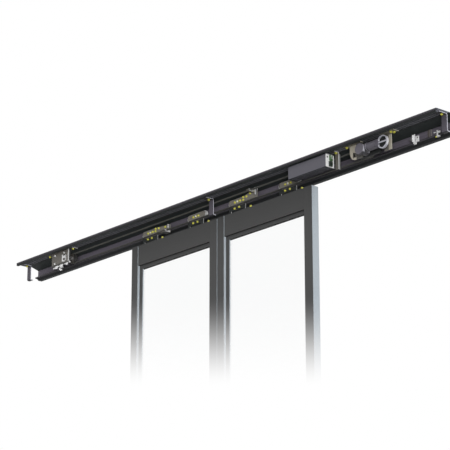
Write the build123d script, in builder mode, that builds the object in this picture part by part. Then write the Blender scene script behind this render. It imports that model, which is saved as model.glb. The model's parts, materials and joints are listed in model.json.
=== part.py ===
from build123d import *
import math
import os

os.makedirs("parts", exist_ok=True)

# Bi-parting sliding door operator with its two leaves, cover taken off.
# x runs along the header, y = 0 is the wall face and -y is the room, z = 0 is
# half way up the header's back. All sizes are millimetres.

# Header extrusion
header_length = 4200
header_depth = 226
header_height = 100
wall = 4
skin = 3
front_box_depth = 98
front_box_height = 10
nose_height = 22
nose_width = 16
plate_thickness = 3.5
plate_end_y = -90
gusset_drop = 12
flute_pitch = 6
flute_width = 2.4
flute_depth = 1

top_z = header_height / 2
bottom_z = -header_height / 2
left_end = -header_length / 2
right_end = header_length / 2
front_y = -header_depth
wall_y = -wall
box_back_y = front_y + front_box_depth
ceiling_z = top_z - front_box_height

# Rail nose that carries the running track
ledge_z = 0
valley_z = -34
valley_y = -45
track_y = -54
track_width = 8
neck_width = 3
neck_height = 2
track_height = 6
nose_under_z = -39
lip_y = -14

track_top_z = valley_z + track_height
nose_tip_y = track_y - track_width / 2

# Wall fixing slots
wall_hole_r = 4.5
wall_hole_count = 8
wall_hole_spacing = 560
wall_hole_z = 19

# Common clearances
turning_gap = 0.05
rolling_gap = 0.3
belt_gap = 0.4

# Screws under the front box
screw_head_r = 7.5
screw_head_height = 5
washer_r = 9
washer_height = 1.6
screw_shank_r = 4
hole_gap = 0.3

# Cover support straps
strap_width = 42
strap_thickness = 5
flange_thickness = strap_thickness
strap_setback = 94
strap_y = front_y + strap_setback
strap_bottom_z = -70
strap_flange = 70
strap_foot = 22
strap_bend_r = 7
strap_screw_y = strap_y - 20
strap_end_inset = 4
strap_xs = {
    "strap_left": left_end + strap_end_inset + strap_width / 2,
    "strap_middle": 0,
    "strap_right": right_end - strap_end_inset - strap_width / 2,
}

# Toothed belt and its two pulleys
belt_setback = 120
belt_y = front_y + belt_setback
belt_width = 15
belt_thickness = 3
pulley_pitch_r = 35
pulley_z = -15
pulley_teeth = 28
pulley_tooth_depth = 2
pulley_flange_r = 38
pulley_flange = 1.5
side_gap = 0.3
idler_x = left_end + 540
drive_x = right_end - 656

# Belt idler unit
idler_mid_x = left_end + 487
idler_flange_x = left_end + 473
idler_width = 194
idler_face_y = front_y + 40
idler_plate = 4
idler_bottom_z = -64
idler_ear = 60
idler_flange_depth = 50
idler_ear_screw_y = front_y + 64
idler_ear_screw_inset = 17
idler_axle_r = 6
idler_axle_head_r = 11
idler_axle_head = 7
idler_boss_r = 14
idler_cap = 4
slider_x = left_end + 485
slider_plate = 4
slider_width = 160
slider_height = 84
idler_screw_dx = 55
idler_screw_dz = 30
idler_screw_z = -15
idler_screw_r = 4
idler_screw_head_r = 6.5
idler_screw_head = 4
slider_travel = 20
oval_width = 36
oval_height = 38
oval_rim = 3
tension_rod_r = 4
tension_rod_z = -58
tension_tab = 20
tension_nut = 16

# Motor unit: gear drum across the header, motor along it, ring at its rear
motor_y = front_y + 62
motor_z = -9
gear_lid_r = 35
gear_lid_y = front_y + 28
gear_lid_depth = 20
gear_r = 32
motor_r = 27
motor_x0 = drive_x + 38
cage_x = right_end - 488
cage_r = 41
cage_wall = 7
cage_depth = 14
cage_web = 4
cage_bar = 8
cage_boss_r = 12
gearbox_x0 = drive_x - 68
gearbox_x1 = drive_x + 109
gearbox_y = front_y + 92
gearbox_depth = 17
gearbox_top_z = 20
gearbox_bottom_z = -50
output_shaft_r = 8
output_shaft_seat = 10
bracket_plate = 6
bracket_bottom_z = -60
front_plate_x = drive_x - 113
front_plate_y = motor_y + 1
front_flange_x = drive_x - 152
front_flange_depth = 26
rear_plate_x0 = cage_x - 12
rear_plate_x1 = cage_x + 45
rear_plate_y = front_y + 86
rear_flange_x1 = cage_x + 103
rear_flange_y = front_y + 42

# Control unit
control_x0 = right_end - 1264
control_x1 = right_end - 928
control_front_y = front_y + 14
control_depth = 66
control_top_z = 23
control_bottom_z = -57
control_wall = 2.5
end_panel = 3
control_bracket_x = right_end - 902
control_bracket_width = 26
control_bracket_y = front_y + 88
control_flange_depth = 36
control_return = 13
control_pad = 40
control_ribs = 5
edge_r = 3

# End stops and right end fittings
left_stop_x = left_end + 312
right_stop_x = right_end - 342
stop_plate = 4
stop_reach = 62
stop_top_z = 16
stop_bottom_z = -26
buffer_r = 11
buffer_length = 18
stop_foot = 30
stop_foot_lift = 4
terminal_x = right_end - 255
clamp_x = right_end - 187

# Door leaves
leaf_width = 904
leaf_height = 2100
leaf_thickness = 54
leaf_gap = 4
leaf_y = track_y
leaf_top_z = -81
stile_width = 70
top_rail_height = 140
bottom_rail_height = 140
frame_wall = 3
glass_thickness = 10
pocket_width = 22
pocket_depth = 12
glass_edge_gap = 2
gasket_lip = 6
seal_depth = 30

leaf_bottom_z = leaf_top_z - leaf_height

# Carriages: two on each leaf, all set off to the left of the leaf's middle
carriage_spacing = 486
carriage_shift = -19
plate_y = front_y + 158
carriage_plate = 5
carriage_length = 172
carriage_top_z = 12
carriage_waist_z = -24
carriage_neck_width = 124
carriage_neck_z = -62
wheel_r = 20
wheel_flange_r = 22.5
wheel_width = 13
wheel_groove_top = 5
wheel_groove_bottom = 2.5
wheel_dx = 77
axle_r = 4
axle_head_r = 7
bolt_r = 4
bolt_head_r = 7.5
bolt_head = 5.5
yellow_dx = 26
yellow_z = -10
hanger_plate = 5
hanger_length = 160
hanger_top_z = -41
hanger_bottom_z = -66
hanger_leg = 20
hanger_foot_depth = 44
hanger_bolt_dx = 22
hanger_bolt_z = -53
foot_bolt_dx = 112
foot_bolt_head = 15

wheel_z = track_top_z + rolling_gap + wheel_r
hanger_y = plate_y - hanger_plate

# Belt brackets: plate on a carriage, arm forward, jaws round one belt run
belt_bracket_plate = hanger_plate
bracket_bolt_dx = 62
bracket_bolt_zs = (3, -15)
left_end_bolts = [(96, -2), (168, -8)]
right_end_bolts = [(94, 0), (130, 12), (176, 14)]
left_jaw_x = -525
left_jaw_length = 50
right_jaw_x = 345
right_jaw_length = 27
right_plate_reach = 30
jaw_wall = 5
bracket_lip = 22
bracket_lip_wall = 4
left_lip_zs = (-30, -3)
right_lip_zs = (-14, 34)


# Where screws go up through a flange into the front box
idler_ear_dx = idler_width / 2 + idler_ear - idler_ear_screw_inset
foot_screw = (front_flange_x + 18, front_plate_y - 3)
rear_screws = [(cage_x + 70, front_y + 61), (cage_x + 80, front_y + 78)]
control_screw = (control_bracket_x + 3, control_bracket_y - 14)
flange_spots = [(x, strap_screw_y) for x in strap_xs.values()]
flange_spots += [(idler_flange_x + dx, idler_ear_screw_y) for dx in (-idler_ear_dx, idler_ear_dx)]
flange_spots += [foot_screw, *rear_screws, control_screw]

# Header extrusion: one constant section with three hollow cells
box_in_y = front_y + skin
gusset_run = wall_y - plate_end_y
gusset_low_z = top_z - gusset_drop
neck_front_y = track_y - neck_width / 2
neck_back_y = track_y + neck_width / 2
nose_slope = (ledge_z - valley_z) / (wall_y - valley_y)

with BuildPart() as header_extrusion:
    with BuildSketch(Plane.YZ):
        with BuildLine():
            Polyline(
                (front_y, top_z),
                (0, top_z),
                (0, bottom_z),
                (wall_y, bottom_z),
                (lip_y, nose_under_z),
                (nose_tip_y, nose_under_z),
                (nose_tip_y, valley_z),
                (neck_front_y, valley_z),
                (neck_front_y, valley_z + neck_height),
                (neck_back_y, valley_z + neck_height),
                (neck_back_y, valley_z),
                (valley_y, valley_z),
                (wall_y, ledge_z),
                (wall_y, gusset_low_z),
                (plate_end_y, top_z - plate_thickness),
                (box_back_y, top_z - plate_thickness),
                (box_back_y, ceiling_z),
                (front_y + nose_width, ceiling_z),
                (front_y + nose_width, top_z - nose_height),
                (front_y, top_z - nose_height),
                close=True,
            )
        make_face()
        # front box cell with the deeper nose
        with BuildLine():
            Polyline(
                (box_in_y, top_z - skin),
                (box_back_y - skin, top_z - skin),
                (box_back_y - skin, ceiling_z + skin),
                (front_y + nose_width - skin, ceiling_z + skin),
                (front_y + nose_width - skin, top_z - nose_height + skin),
                (box_in_y, top_z - nose_height + skin),
                close=True,
            )
        make_face(mode=Mode.SUBTRACT)
        # cell inside the gusset
        with BuildLine():
            Polyline(
                (wall_y - skin, top_z - skin),
                (wall_y - skin, gusset_low_z + skin),
                (plate_end_y + gusset_run / 3, top_z - skin),
                close=True,
            )
        make_face(mode=Mode.SUBTRACT)
        # cell inside the rail nose
        with BuildLine():
            Polyline(
                (wall_y - skin, ledge_z - skin * (nose_slope + 1.4)),
                (wall_y - skin, nose_under_z + skin),
                (valley_y + 3 * skin, nose_under_z + skin),
                (valley_y + 3 * skin, valley_z + 3 * skin * nose_slope - 1.4 * skin),
                close=True,
            )
        make_face(mode=Mode.SUBTRACT)
        # flutes along the underside of the front box
        flute_room = front_box_depth - nose_width
        flute_count = int(flute_room / flute_pitch)
        flute_mid_y = front_y + nose_width + flute_room / 2
        with Locations((flute_mid_y, ceiling_z)):
            with GridLocations(flute_pitch, flute_pitch, flute_count, 1):
                Rectangle(flute_width, 2 * flute_depth, mode=Mode.SUBTRACT)
    extrude(amount=header_length / 2, both=True)
    nose_edges = (
        header_extrusion.edges()
        .filter_by(Axis.X)
        .filter_by_position(Axis.Y, front_y, front_y)
    )
    fillet(nose_edges, skin - 0.6)
    with Locations(Plane.XZ.offset(-wall_y)):
        with Locations((0, wall_hole_z)):
            with GridLocations(wall_hole_spacing, wall_hole_spacing, wall_hole_count, 1):
                Cylinder(wall_hole_r, 4 * wall, mode=Mode.SUBTRACT)
    with Locations(Plane.XY.offset(ceiling_z)):
        with Locations(*flange_spots):
            Cylinder(screw_shank_r, 3 * skin, mode=Mode.SUBTRACT)
header_extrusion.part.label = "header_extrusion"
export_step(header_extrusion.part, "parts/header_extrusion.step")


# Running track: a round-topped steel rail pressed over the neck of the nose
with BuildPart() as running_track:
    with BuildSketch(Plane.YZ):
        with Locations((track_y, track_top_z - track_width / 2)):
            Circle(track_width / 2)
        with Locations((track_y, (valley_z + track_top_z - track_width / 2) / 2)):
            Rectangle(track_width, track_height - track_width / 2)
        with Locations((track_y, valley_z + neck_height / 2)):
            Rectangle(neck_width, neck_height, mode=Mode.SUBTRACT)
        with Locations((track_y, valley_z - track_width)):
            Rectangle(2 * track_width, 2 * track_width, mode=Mode.SUBTRACT)
    extrude(amount=header_length / 2, both=True)
running_track.part.label = "running_track"
export_step(running_track.part, "parts/running_track.step")


# Cover support straps: flange under the front box, drop, foot to the back
def make_strap(name, x):
    half = strap_width / 2
    with BuildPart() as strap:
        with BuildSketch(Plane.YZ.offset(x - half)):
            with BuildLine() as path:
                FilletPolyline(
                    (strap_y - strap_flange + strap_thickness, ceiling_z - strap_thickness / 2),
                    (strap_y + strap_thickness / 2, ceiling_z - strap_thickness / 2),
                    (strap_y + strap_thickness / 2, strap_bottom_z + strap_thickness / 2),
                    (strap_y + strap_foot, strap_bottom_z + strap_thickness / 2),
                    radius=strap_bend_r,
                )
                offset(amount=strap_thickness / 2, side=Side.BOTH)
            make_face()
        extrude(amount=strap_width)
        with Locations(Plane.XY.offset(ceiling_z)):
            with Locations((x, strap_screw_y)):
                Cylinder(screw_shank_r + hole_gap, 4 * strap_thickness, mode=Mode.SUBTRACT)
    strap.part.label = name
    export_step(strap.part, f"parts/{name}.step")


for name, x in strap_xs.items():
    make_strap(name, x)


# Toothed belt drawn as a plain band on its pitch line
belt_in_r = pulley_pitch_r - belt_thickness / 2
belt_out_r = pulley_pitch_r + belt_thickness / 2
with BuildPart() as drive_belt:
    with BuildSketch(Plane.XZ.offset(-belt_y)):
        with Locations(((idler_x + drive_x) / 2, pulley_z)):
            SlotCenterToCenter(drive_x - idler_x, 2 * belt_out_r)
            SlotCenterToCenter(drive_x - idler_x, 2 * belt_in_r, mode=Mode.SUBTRACT)
    extrude(amount=belt_width / 2, both=True)
drive_belt.part.label = "drive_belt"
export_step(drive_belt.part, "parts/drive_belt.step")

pulley_r = belt_in_r - belt_gap
pulley_half = belt_width / 2 + belt_gap
pulley_side = pulley_half + pulley_flange


# Flanged, toothed pulley; bore_r of zero leaves it solid
def pulley_body(x, bore_r):
    tooth_width = math.pi * pulley_r / pulley_teeth
    with BuildPart() as pulley:
        with BuildSketch(Plane.XZ.offset(-belt_y)):
            with Locations((x, pulley_z)):
                Circle(pulley_r)
                with PolarLocations(pulley_r, pulley_teeth):
                    Rectangle(2 * pulley_tooth_depth, tooth_width, mode=Mode.SUBTRACT)
        extrude(amount=pulley_half, both=True)
        for y in (belt_y - pulley_half, belt_y + pulley_side):
            with BuildSketch(Plane.XZ.offset(-y)):
                with Locations((x, pulley_z)):
                    Circle(pulley_flange_r)
            extrude(amount=pulley_flange)
        if bore_r:
            with BuildSketch(Plane.XZ.offset(-belt_y)):
                with Locations((x, pulley_z)):
                    Circle(bore_r)
            extrude(amount=2 * pulley_side, both=True, mode=Mode.SUBTRACT)
    return pulley


idler_pulley = pulley_body(idler_x, idler_axle_r + turning_gap)
idler_pulley.part.label = "idler_pulley"
export_step(idler_pulley.part, "parts/idler_pulley.step")

# Drive pulley with its shaft, which turns in the output gearbox
gearbox_back_y = gearbox_y + gearbox_depth
shaft_front_y = gearbox_back_y - output_shaft_seat + side_gap
with BuildPart() as drive_pulley:
    add(pulley_body(drive_x, 0).part)
    with BuildSketch(Plane.XZ.offset(-belt_y)):
        with Locations((drive_x, pulley_z)):
            Circle(output_shaft_r)
    extrude(amount=belt_y - shaft_front_y)
drive_pulley.part.label = "drive_pulley"
export_step(drive_pulley.part, "parts/drive_pulley.step")


# Idler bracket: eared top flange, hanging plate with slots and a side flange
idler_x1 = idler_mid_x + idler_width / 2
idler_plate_back = idler_face_y + idler_plate
with BuildPart() as idler_bracket:
    with BuildSketch(Plane.XY.offset(ceiling_z - flange_thickness)):
        with Locations((idler_flange_x, idler_face_y + idler_flange_depth / 2)):
            Rectangle(idler_width + 2 * idler_ear, idler_flange_depth)
        with Locations((idler_flange_x, idler_ear_screw_y)):
            with GridLocations(2 * idler_ear_dx, 1, 2, 1):
                Circle(screw_shank_r + hole_gap, mode=Mode.SUBTRACT)
    extrude(amount=flange_thickness)
    with BuildSketch(Plane.XZ.offset(-idler_plate_back)):
        with Locations((idler_mid_x, (ceiling_z + idler_bottom_z) / 2)):
            Rectangle(idler_width, ceiling_z - idler_bottom_z)
        with Locations((slider_x, idler_screw_z)):
            with GridLocations(2 * idler_screw_dx, 2 * idler_screw_dz, 2, 2):
                SlotOverall(
                    slider_travel + 2 * idler_screw_r,
                    2 * (idler_screw_r + hole_gap),
                    mode=Mode.SUBTRACT,
                )
        with Locations((idler_x, pulley_z)):
            SlotOverall(oval_height, oval_width, rotation=90, mode=Mode.SUBTRACT)
    extrude(amount=idler_plate)
    with BuildSketch(Plane.XZ.offset(-idler_face_y)):
        with Locations((idler_x, pulley_z)):
            SlotOverall(oval_height + 2 * oval_rim, oval_width + 2 * oval_rim, rotation=90)
            SlotOverall(oval_height, oval_width, rotation=90, mode=Mode.SUBTRACT)
    extrude(amount=oval_rim / 2)
    with BuildSketch(Plane.YZ.offset(idler_x1 - idler_plate)):
        with Locations((idler_plate_back + tension_tab / 2, (ceiling_z + idler_bottom_z) / 2)):
            Rectangle(tension_tab, ceiling_z - idler_bottom_z)
        with Locations((idler_plate_back + tension_tab / 2, tension_rod_z)):
            Circle(tension_rod_r + hole_gap, mode=Mode.SUBTRACT)
    extrude(amount=idler_plate)
idler_bracket.part.label = "idler_bracket"
export_step(idler_bracket.part, "parts/idler_bracket.step")

# Slider plate behind the bracket, with the nut block for the tension screw
slider_back_y = idler_plate_back + slider_plate
rod_y = idler_plate_back + tension_tab / 2
nut_x = slider_x - slider_width / 2 + tension_nut
with BuildPart() as idler_slider:
    with BuildSketch(Plane.XZ.offset(-slider_back_y)):
        with Locations((slider_x, idler_screw_z)):
            Rectangle(slider_width, slider_height)
            with GridLocations(2 * idler_screw_dx, 2 * idler_screw_dz, 2, 2):
                Circle(idler_screw_r, mode=Mode.SUBTRACT)
        with Locations((idler_x, pulley_z)):
            Circle(idler_axle_r, mode=Mode.SUBTRACT)
        with Locations((nut_x, tension_rod_z)):
            Rectangle(2 * tension_nut, tension_nut)
    extrude(amount=slider_plate)
    with BuildSketch(Plane.YZ.offset(nut_x - tension_nut)):
        with Locations((rod_y + slider_plate / 2, tension_rod_z)):
            Rectangle(tension_tab - slider_plate, tension_nut)
            Circle(tension_rod_r, mode=Mode.SUBTRACT)
    extrude(amount=2 * tension_nut)
    with BuildSketch(Plane.YZ.offset(nut_x - tension_nut)):
        with Locations((rod_y, tension_rod_z)):
            Circle(tension_rod_r)
    extrude(amount=2 * tension_nut, mode=Mode.SUBTRACT)
idler_slider.part.label = "idler_slider"
export_step(idler_slider.part, "parts/idler_slider.step")

# Four clamp screws through the bracket slots into the slider
with BuildPart() as idler_screws:
    with BuildSketch(Plane.XZ.offset(-slider_back_y)):
        with Locations((slider_x, idler_screw_z)):
            with GridLocations(2 * idler_screw_dx, 2 * idler_screw_dz, 2, 2):
                Circle(idler_screw_r)
    extrude(amount=slider_back_y - idler_face_y)
    with BuildSketch(Plane.XZ.offset(-idler_face_y)):
        with Locations((slider_x, idler_screw_z)):
            with GridLocations(2 * idler_screw_dx, 2 * idler_screw_dz, 2, 2):
                RegularPolygon(idler_screw_head_r, 6)
    extrude(amount=idler_screw_head)
idler_screws.part.label = "idler_screws"
export_step(idler_screws.part, "parts/idler_screws.step")

# Idler axle: hex head in the oval, spacer boss, journal and end cap
idler_front_y = belt_y - pulley_side - side_gap
idler_back_y = belt_y + pulley_side + side_gap
with BuildPart() as idler_axle:
    with BuildSketch(Plane.XZ.offset(-idler_plate_back)):
        with Locations((idler_x, pulley_z)):
            RegularPolygon(idler_axle_head_r, 6)
    extrude(amount=idler_axle_head)
    with BuildSketch(Plane.XZ.offset(-(idler_back_y + idler_cap))):
        with Locations((idler_x, pulley_z)):
            Circle(idler_axle_r)
    extrude(amount=idler_back_y + idler_cap - idler_plate_back)
    with BuildSketch(Plane.XZ.offset(-idler_front_y)):
        with Locations((idler_x, pulley_z)):
            Circle(idler_boss_r)
    extrude(amount=idler_front_y - slider_back_y)
    with BuildSketch(Plane.XZ.offset(-(idler_back_y + idler_cap))):
        with Locations((idler_x, pulley_z)):
            Circle(idler_axle_r + idler_cap)
    extrude(amount=idler_cap)
idler_axle.part.label = "idler_axle"
export_step(idler_axle.part, "parts/idler_axle.step")

# Tension screw from the bracket's side flange to the slider's nut block
rod_x0 = nut_x - tension_nut
with BuildPart() as tension_screw:
    with BuildSketch(Plane.YZ.offset(rod_x0)):
        with Locations((rod_y, tension_rod_z)):
            Circle(tension_rod_r)
    extrude(amount=idler_x1 - rod_x0)
    with BuildSketch(Plane.YZ.offset(idler_x1)):
        with Locations((rod_y, tension_rod_z)):
            RegularPolygon(1.7 * tension_rod_r, 6)
    extrude(amount=1.5 * tension_rod_r)
tension_screw.part.label = "tension_screw"
export_step(tension_screw.part, "parts/tension_screw.step")


# Gear housing: drum across the header with a wider lid, and the round socket
# for the motor on its side
gear_lid_back = gear_lid_y + gear_lid_depth
with BuildPart() as gear_housing:
    with BuildSketch(Plane.XZ.offset(-gearbox_y)):
        with Locations((drive_x, pulley_z)):
            Circle(gear_r)
    extrude(amount=gearbox_y - gear_lid_back)
    with BuildSketch(Plane.XZ.offset(-gear_lid_back)):
        with Locations((drive_x, pulley_z)):
            Circle(gear_lid_r)
    extrude(amount=gear_lid_depth)
    lid_rim = gear_housing.faces().sort_by(Axis.Y)[0].edges()
    chamfer(lid_rim, 2)
    with BuildSketch(Plane.YZ.offset(drive_x)):
        with Locations((motor_y, motor_z)):
            Circle(motor_r)
    extrude(amount=motor_x0 - drive_x)
gear_housing.part.label = "gear_housing"
export_step(gear_housing.part, "parts/gear_housing.step")

# Output gearbox behind the motor, with the shaft bore in its back
with BuildPart() as output_gearbox:
    with BuildSketch(Plane.XZ.offset(-gearbox_back_y)):
        gearbox_mid_z = (gearbox_top_z + gearbox_bottom_z) / 2
        with Locations(((gearbox_x0 + gearbox_x1) / 2, gearbox_mid_z)):
            Rectangle(gearbox_x1 - gearbox_x0, gearbox_top_z - gearbox_bottom_z)
    extrude(amount=gearbox_depth)
    fillet(output_gearbox.edges().filter_by(Axis.Y), 8)
    rim = output_gearbox.faces().sort_by(Axis.Y)[0].edges()
    chamfer(rim, 2)
    with BuildSketch(Plane.XZ.offset(-gearbox_back_y)):
        with Locations((drive_x, pulley_z)):
            Circle(output_shaft_r + turning_gap)
    extrude(amount=output_shaft_seat, mode=Mode.SUBTRACT)
output_gearbox.part.label = "output_gearbox"
export_step(output_gearbox.part, "parts/output_gearbox.step")

# Motor body: turned can with two grooves
motor_x1 = cage_x - cage_r
groove = 2
with BuildPart() as motor_body:
    with BuildSketch(Plane.YZ.offset(motor_x0)):
        with Locations((motor_y, motor_z)):
            Circle(motor_r)
    extrude(amount=motor_x1 - motor_x0)
    for x in (motor_x0 + 4 * groove, motor_x1 - 5 * groove):
        with BuildSketch(Plane.YZ.offset(x)):
            with Locations((motor_y, motor_z)):
                Circle(motor_r)
                Circle(motor_r - groove, mode=Mode.SUBTRACT)
        extrude(amount=groove, mode=Mode.SUBTRACT)
motor_body.part.label = "motor_body"
export_step(motor_body.part, "parts/motor_body.step")

# Ring at the motor's rear: rim with a bar across it, closed by a thin web and
# held by a boss on the rear bracket
ring_back_y = motor_y + cage_depth / 2
with BuildPart() as motor_cage:
    with BuildSketch(Plane.XZ.offset(-ring_back_y)):
        with Locations((cage_x, motor_z)):
            Circle(cage_r)
            Circle(cage_r - cage_wall, mode=Mode.SUBTRACT)
            Rectangle(2 * cage_r - cage_wall, cage_bar)
        with Locations((motor_x1 + cage_wall / 2, motor_z)):
            Rectangle(cage_wall, cage_r)
    extrude(amount=cage_depth)
    with BuildSketch(Plane.XZ.offset(-ring_back_y)):
        with Locations((cage_x, motor_z)):
            Circle(cage_r - cage_wall / 2)
    extrude(amount=cage_web)
    with BuildSketch(Plane.XZ.offset(-rear_plate_y)):
        with Locations((cage_x, motor_z)):
            Circle(cage_boss_r)
    extrude(amount=rear_plate_y - ring_back_y)
motor_cage.part.label = "motor_cage"
export_step(motor_cage.part, "parts/motor_cage.step")

# Front motor bracket: flange under the box and a plate round the gear drum
# with a rounded, slotted heel
front_plate_x1 = drive_x - 4
front_flange_mid_x = (front_flange_x + front_plate_x1) / 2
front_flange_back = front_plate_y + bracket_plate
heel_slot = 34
heel_slot_width = 14
with BuildPart() as motor_front_bracket:
    with BuildSketch(Plane.XY.offset(ceiling_z - flange_thickness)):
        with Locations((front_flange_mid_x, front_flange_back - front_flange_depth / 2)):
            Rectangle(front_plate_x1 - front_flange_x, front_flange_depth)
        with Locations(foot_screw):
            Circle(screw_shank_r + hole_gap, mode=Mode.SUBTRACT)
    extrude(amount=flange_thickness)
    with BuildSketch(Plane.XZ.offset(-front_flange_back)):
        with BuildLine():
            Polyline(
                (front_plate_x, ceiling_z),
                (front_plate_x, bracket_bottom_z + 48),
                (front_plate_x + 8, bracket_bottom_z + 24),
                (front_plate_x + 22, bracket_bottom_z + 8),
                (front_plate_x + 42, bracket_bottom_z),
                (front_plate_x1, bracket_bottom_z),
                (front_plate_x1, ceiling_z),
                close=True,
            )
        make_face()
        with Locations((drive_x, pulley_z)):
            Circle(gear_r, mode=Mode.SUBTRACT)
        with Locations((front_plate_x + heel_slot, bracket_bottom_z + heel_slot)):
            SlotOverall(heel_slot, heel_slot_width, rotation=-65, mode=Mode.SUBTRACT)
    extrude(amount=bracket_plate)
motor_front_bracket.part.label = "motor_front_bracket"
export_step(motor_front_bracket.part, "parts/motor_front_bracket.step")

# Rear motor bracket: flange with two screws and a plate behind the ring
rear_flange_mid_x = (rear_plate_x0 + rear_flange_x1) / 2
rear_plate_back = rear_plate_y + bracket_plate
with BuildPart() as motor_rear_bracket:
    with BuildSketch(Plane.XY.offset(ceiling_z - flange_thickness)):
        with Locations((rear_flange_mid_x, (rear_flange_y + rear_plate_back) / 2)):
            Rectangle(rear_flange_x1 - rear_plate_x0, rear_plate_back - rear_flange_y)
        with Locations(*rear_screws):
            Circle(screw_shank_r + hole_gap, mode=Mode.SUBTRACT)
    extrude(amount=flange_thickness)
    with BuildSketch(Plane.XZ.offset(-rear_plate_back)):
        with Locations(((rear_plate_x0 + rear_plate_x1) / 2, (ceiling_z + bracket_bottom_z) / 2)):
            Rectangle(rear_plate_x1 - rear_plate_x0, ceiling_z - bracket_bottom_z)
    extrude(amount=bracket_plate)
motor_rear_bracket.part.label = "motor_rear_bracket"
export_step(motor_rear_bracket.part, "parts/motor_rear_bracket.step")


# Control unit: shelled housing open at the end panel, hung on two pads, with
# lengthwise ribs under it
control_length = control_x1 - control_x0
control_mid_x = (control_x0 + control_x1) / 2
control_mid_y = control_front_y + control_depth / 2
control_height = control_top_z - control_bottom_z
with BuildPart() as control_housing:
    with BuildSketch(Plane.YZ.offset(control_x0)):
        with Locations((control_mid_y, (control_top_z + control_bottom_z) / 2)):
            Rectangle(control_depth, control_height)
    extrude(amount=control_length)
    fillet(control_housing.edges().filter_by(Axis.X), edge_r)
    end_face = control_housing.faces().sort_by(Axis.X)[-1]
    offset(amount=-control_wall, openings=end_face)
    for x in (control_x0 + control_pad, control_x1 - control_pad):
        with BuildSketch(Plane.XY.offset(control_top_z)):
            with Locations((x, control_mid_y)):
                Rectangle(control_pad, control_depth / 2)
        extrude(amount=ceiling_z - control_top_z)
    with BuildSketch(Plane.XY.offset(control_bottom_z)):
        with Locations((control_mid_x, control_mid_y)):
            with GridLocations(1, control_depth / (control_ribs + 1), 1, control_ribs):
                Rectangle(control_length - control_pad, control_wall)
    extrude(amount=-control_wall)
control_housing.part.label = "control_housing"
export_step(control_housing.part, "parts/control_housing.step")

# End panel with two sockets
with BuildPart() as control_end_panel:
    with BuildSketch(Plane.YZ.offset(control_x1)):
        with Locations((control_mid_y, (control_top_z + control_bottom_z) / 2)):
            RectangleRounded(control_depth, control_height, edge_r)
    extrude(amount=end_panel)
control_end_panel.part.label = "control_end_panel"
export_step(control_end_panel.part, "parts/control_end_panel.step")

# Terminal strips on the end panel, each with its wire sockets; a strip is
# given by its y, z, width and height
strip_depth = 11
strip_way = 6
strips = [
    (front_y + 51, control_top_z - 22, 22, 34),
    (front_y + 48, control_bottom_z + 20, 24, 32),
]
with BuildPart() as control_connectors:
    for y, z, width, height in strips:
        ways = int(height / strip_way)
        with BuildSketch(Plane.YZ.offset(control_x1 + end_panel)):
            with Locations((y, z)):
                Rectangle(width, height)
        extrude(amount=strip_depth)
        with BuildSketch(Plane.YZ.offset(control_x1 + end_panel + strip_depth)):
            with Locations((y, z)):
                with GridLocations(1, height / ways, 1, ways):
                    Rectangle(width / 2, height / ways / 2)
        extrude(amount=-strip_depth / 2, mode=Mode.SUBTRACT)
control_connectors.part.label = "control_connectors"
export_step(control_connectors.part, "parts/control_connectors.step")

# Fourth cover support beside the control unit, an angle with a flange
bracket_x1 = control_bracket_x + control_bracket_width / 2
with BuildPart() as control_bracket:
    with BuildSketch(Plane.XZ.offset(-control_bracket_y)):
        with Locations((control_bracket_x, (ceiling_z + strap_bottom_z) / 2)):
            Rectangle(control_bracket_width, ceiling_z - strap_bottom_z)
    extrude(amount=strap_thickness)
    with BuildSketch(Plane.XY.offset(ceiling_z - strap_thickness)):
        with Locations((control_bracket_x, control_bracket_y - control_flange_depth / 2)):
            Rectangle(control_bracket_width, control_flange_depth)
        with Locations(control_screw):
            Circle(screw_shank_r + hole_gap, mode=Mode.SUBTRACT)
    extrude(amount=strap_thickness)
    with BuildSketch(Plane.YZ.offset(bracket_x1 - strap_thickness)):
        return_height = ceiling_z - strap_bottom_z - control_return
        with Locations((control_bracket_y + control_return / 2, strap_bottom_z + return_height / 2)):
            Rectangle(control_return, return_height)
    extrude(amount=strap_thickness)
control_bracket.part.label = "control_bracket"
export_step(control_bracket.part, "parts/control_bracket.step")


# End stops: foot on the wall, arm across the track and a rubber buffer
def make_end_stop(name, x, side):
    arm_y0 = wall_y - stop_reach
    mid_z = (stop_top_z + stop_bottom_z) / 2
    with BuildPart() as end_stop:
        with BuildSketch(Plane.YZ.offset(x)):
            with BuildLine():
                Polyline(
                    (wall_y, stop_top_z),
                    (wall_y, ledge_z + stop_foot_lift),
                    (valley_y, stop_bottom_z),
                    (arm_y0, stop_bottom_z),
                    (arm_y0, stop_top_z),
                    close=True,
                )
            make_face()
        extrude(amount=-side * stop_plate)
        with BuildSketch(Plane.XZ.offset(-wall_y)):
            foot_z = ledge_z + stop_foot_lift + stop_foot / 2
            with Locations((x - side * stop_foot / 2, foot_z)):
                Rectangle(stop_foot, stop_foot)
                Circle(screw_shank_r, mode=Mode.SUBTRACT)
        extrude(amount=stop_plate)
        with BuildSketch(Plane.YZ.offset(x - side * stop_plate)):
            with Locations((arm_y0 + buffer_r + 1, mid_z)):
                Circle(buffer_r)
        extrude(amount=-side * buffer_length)
    end_stop.part.label = name
    export_step(end_stop.part, f"parts/{name}.step")


make_end_stop("left_end_stop", left_stop_x, -1)
make_end_stop("right_end_stop", right_stop_x, 1)

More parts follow.
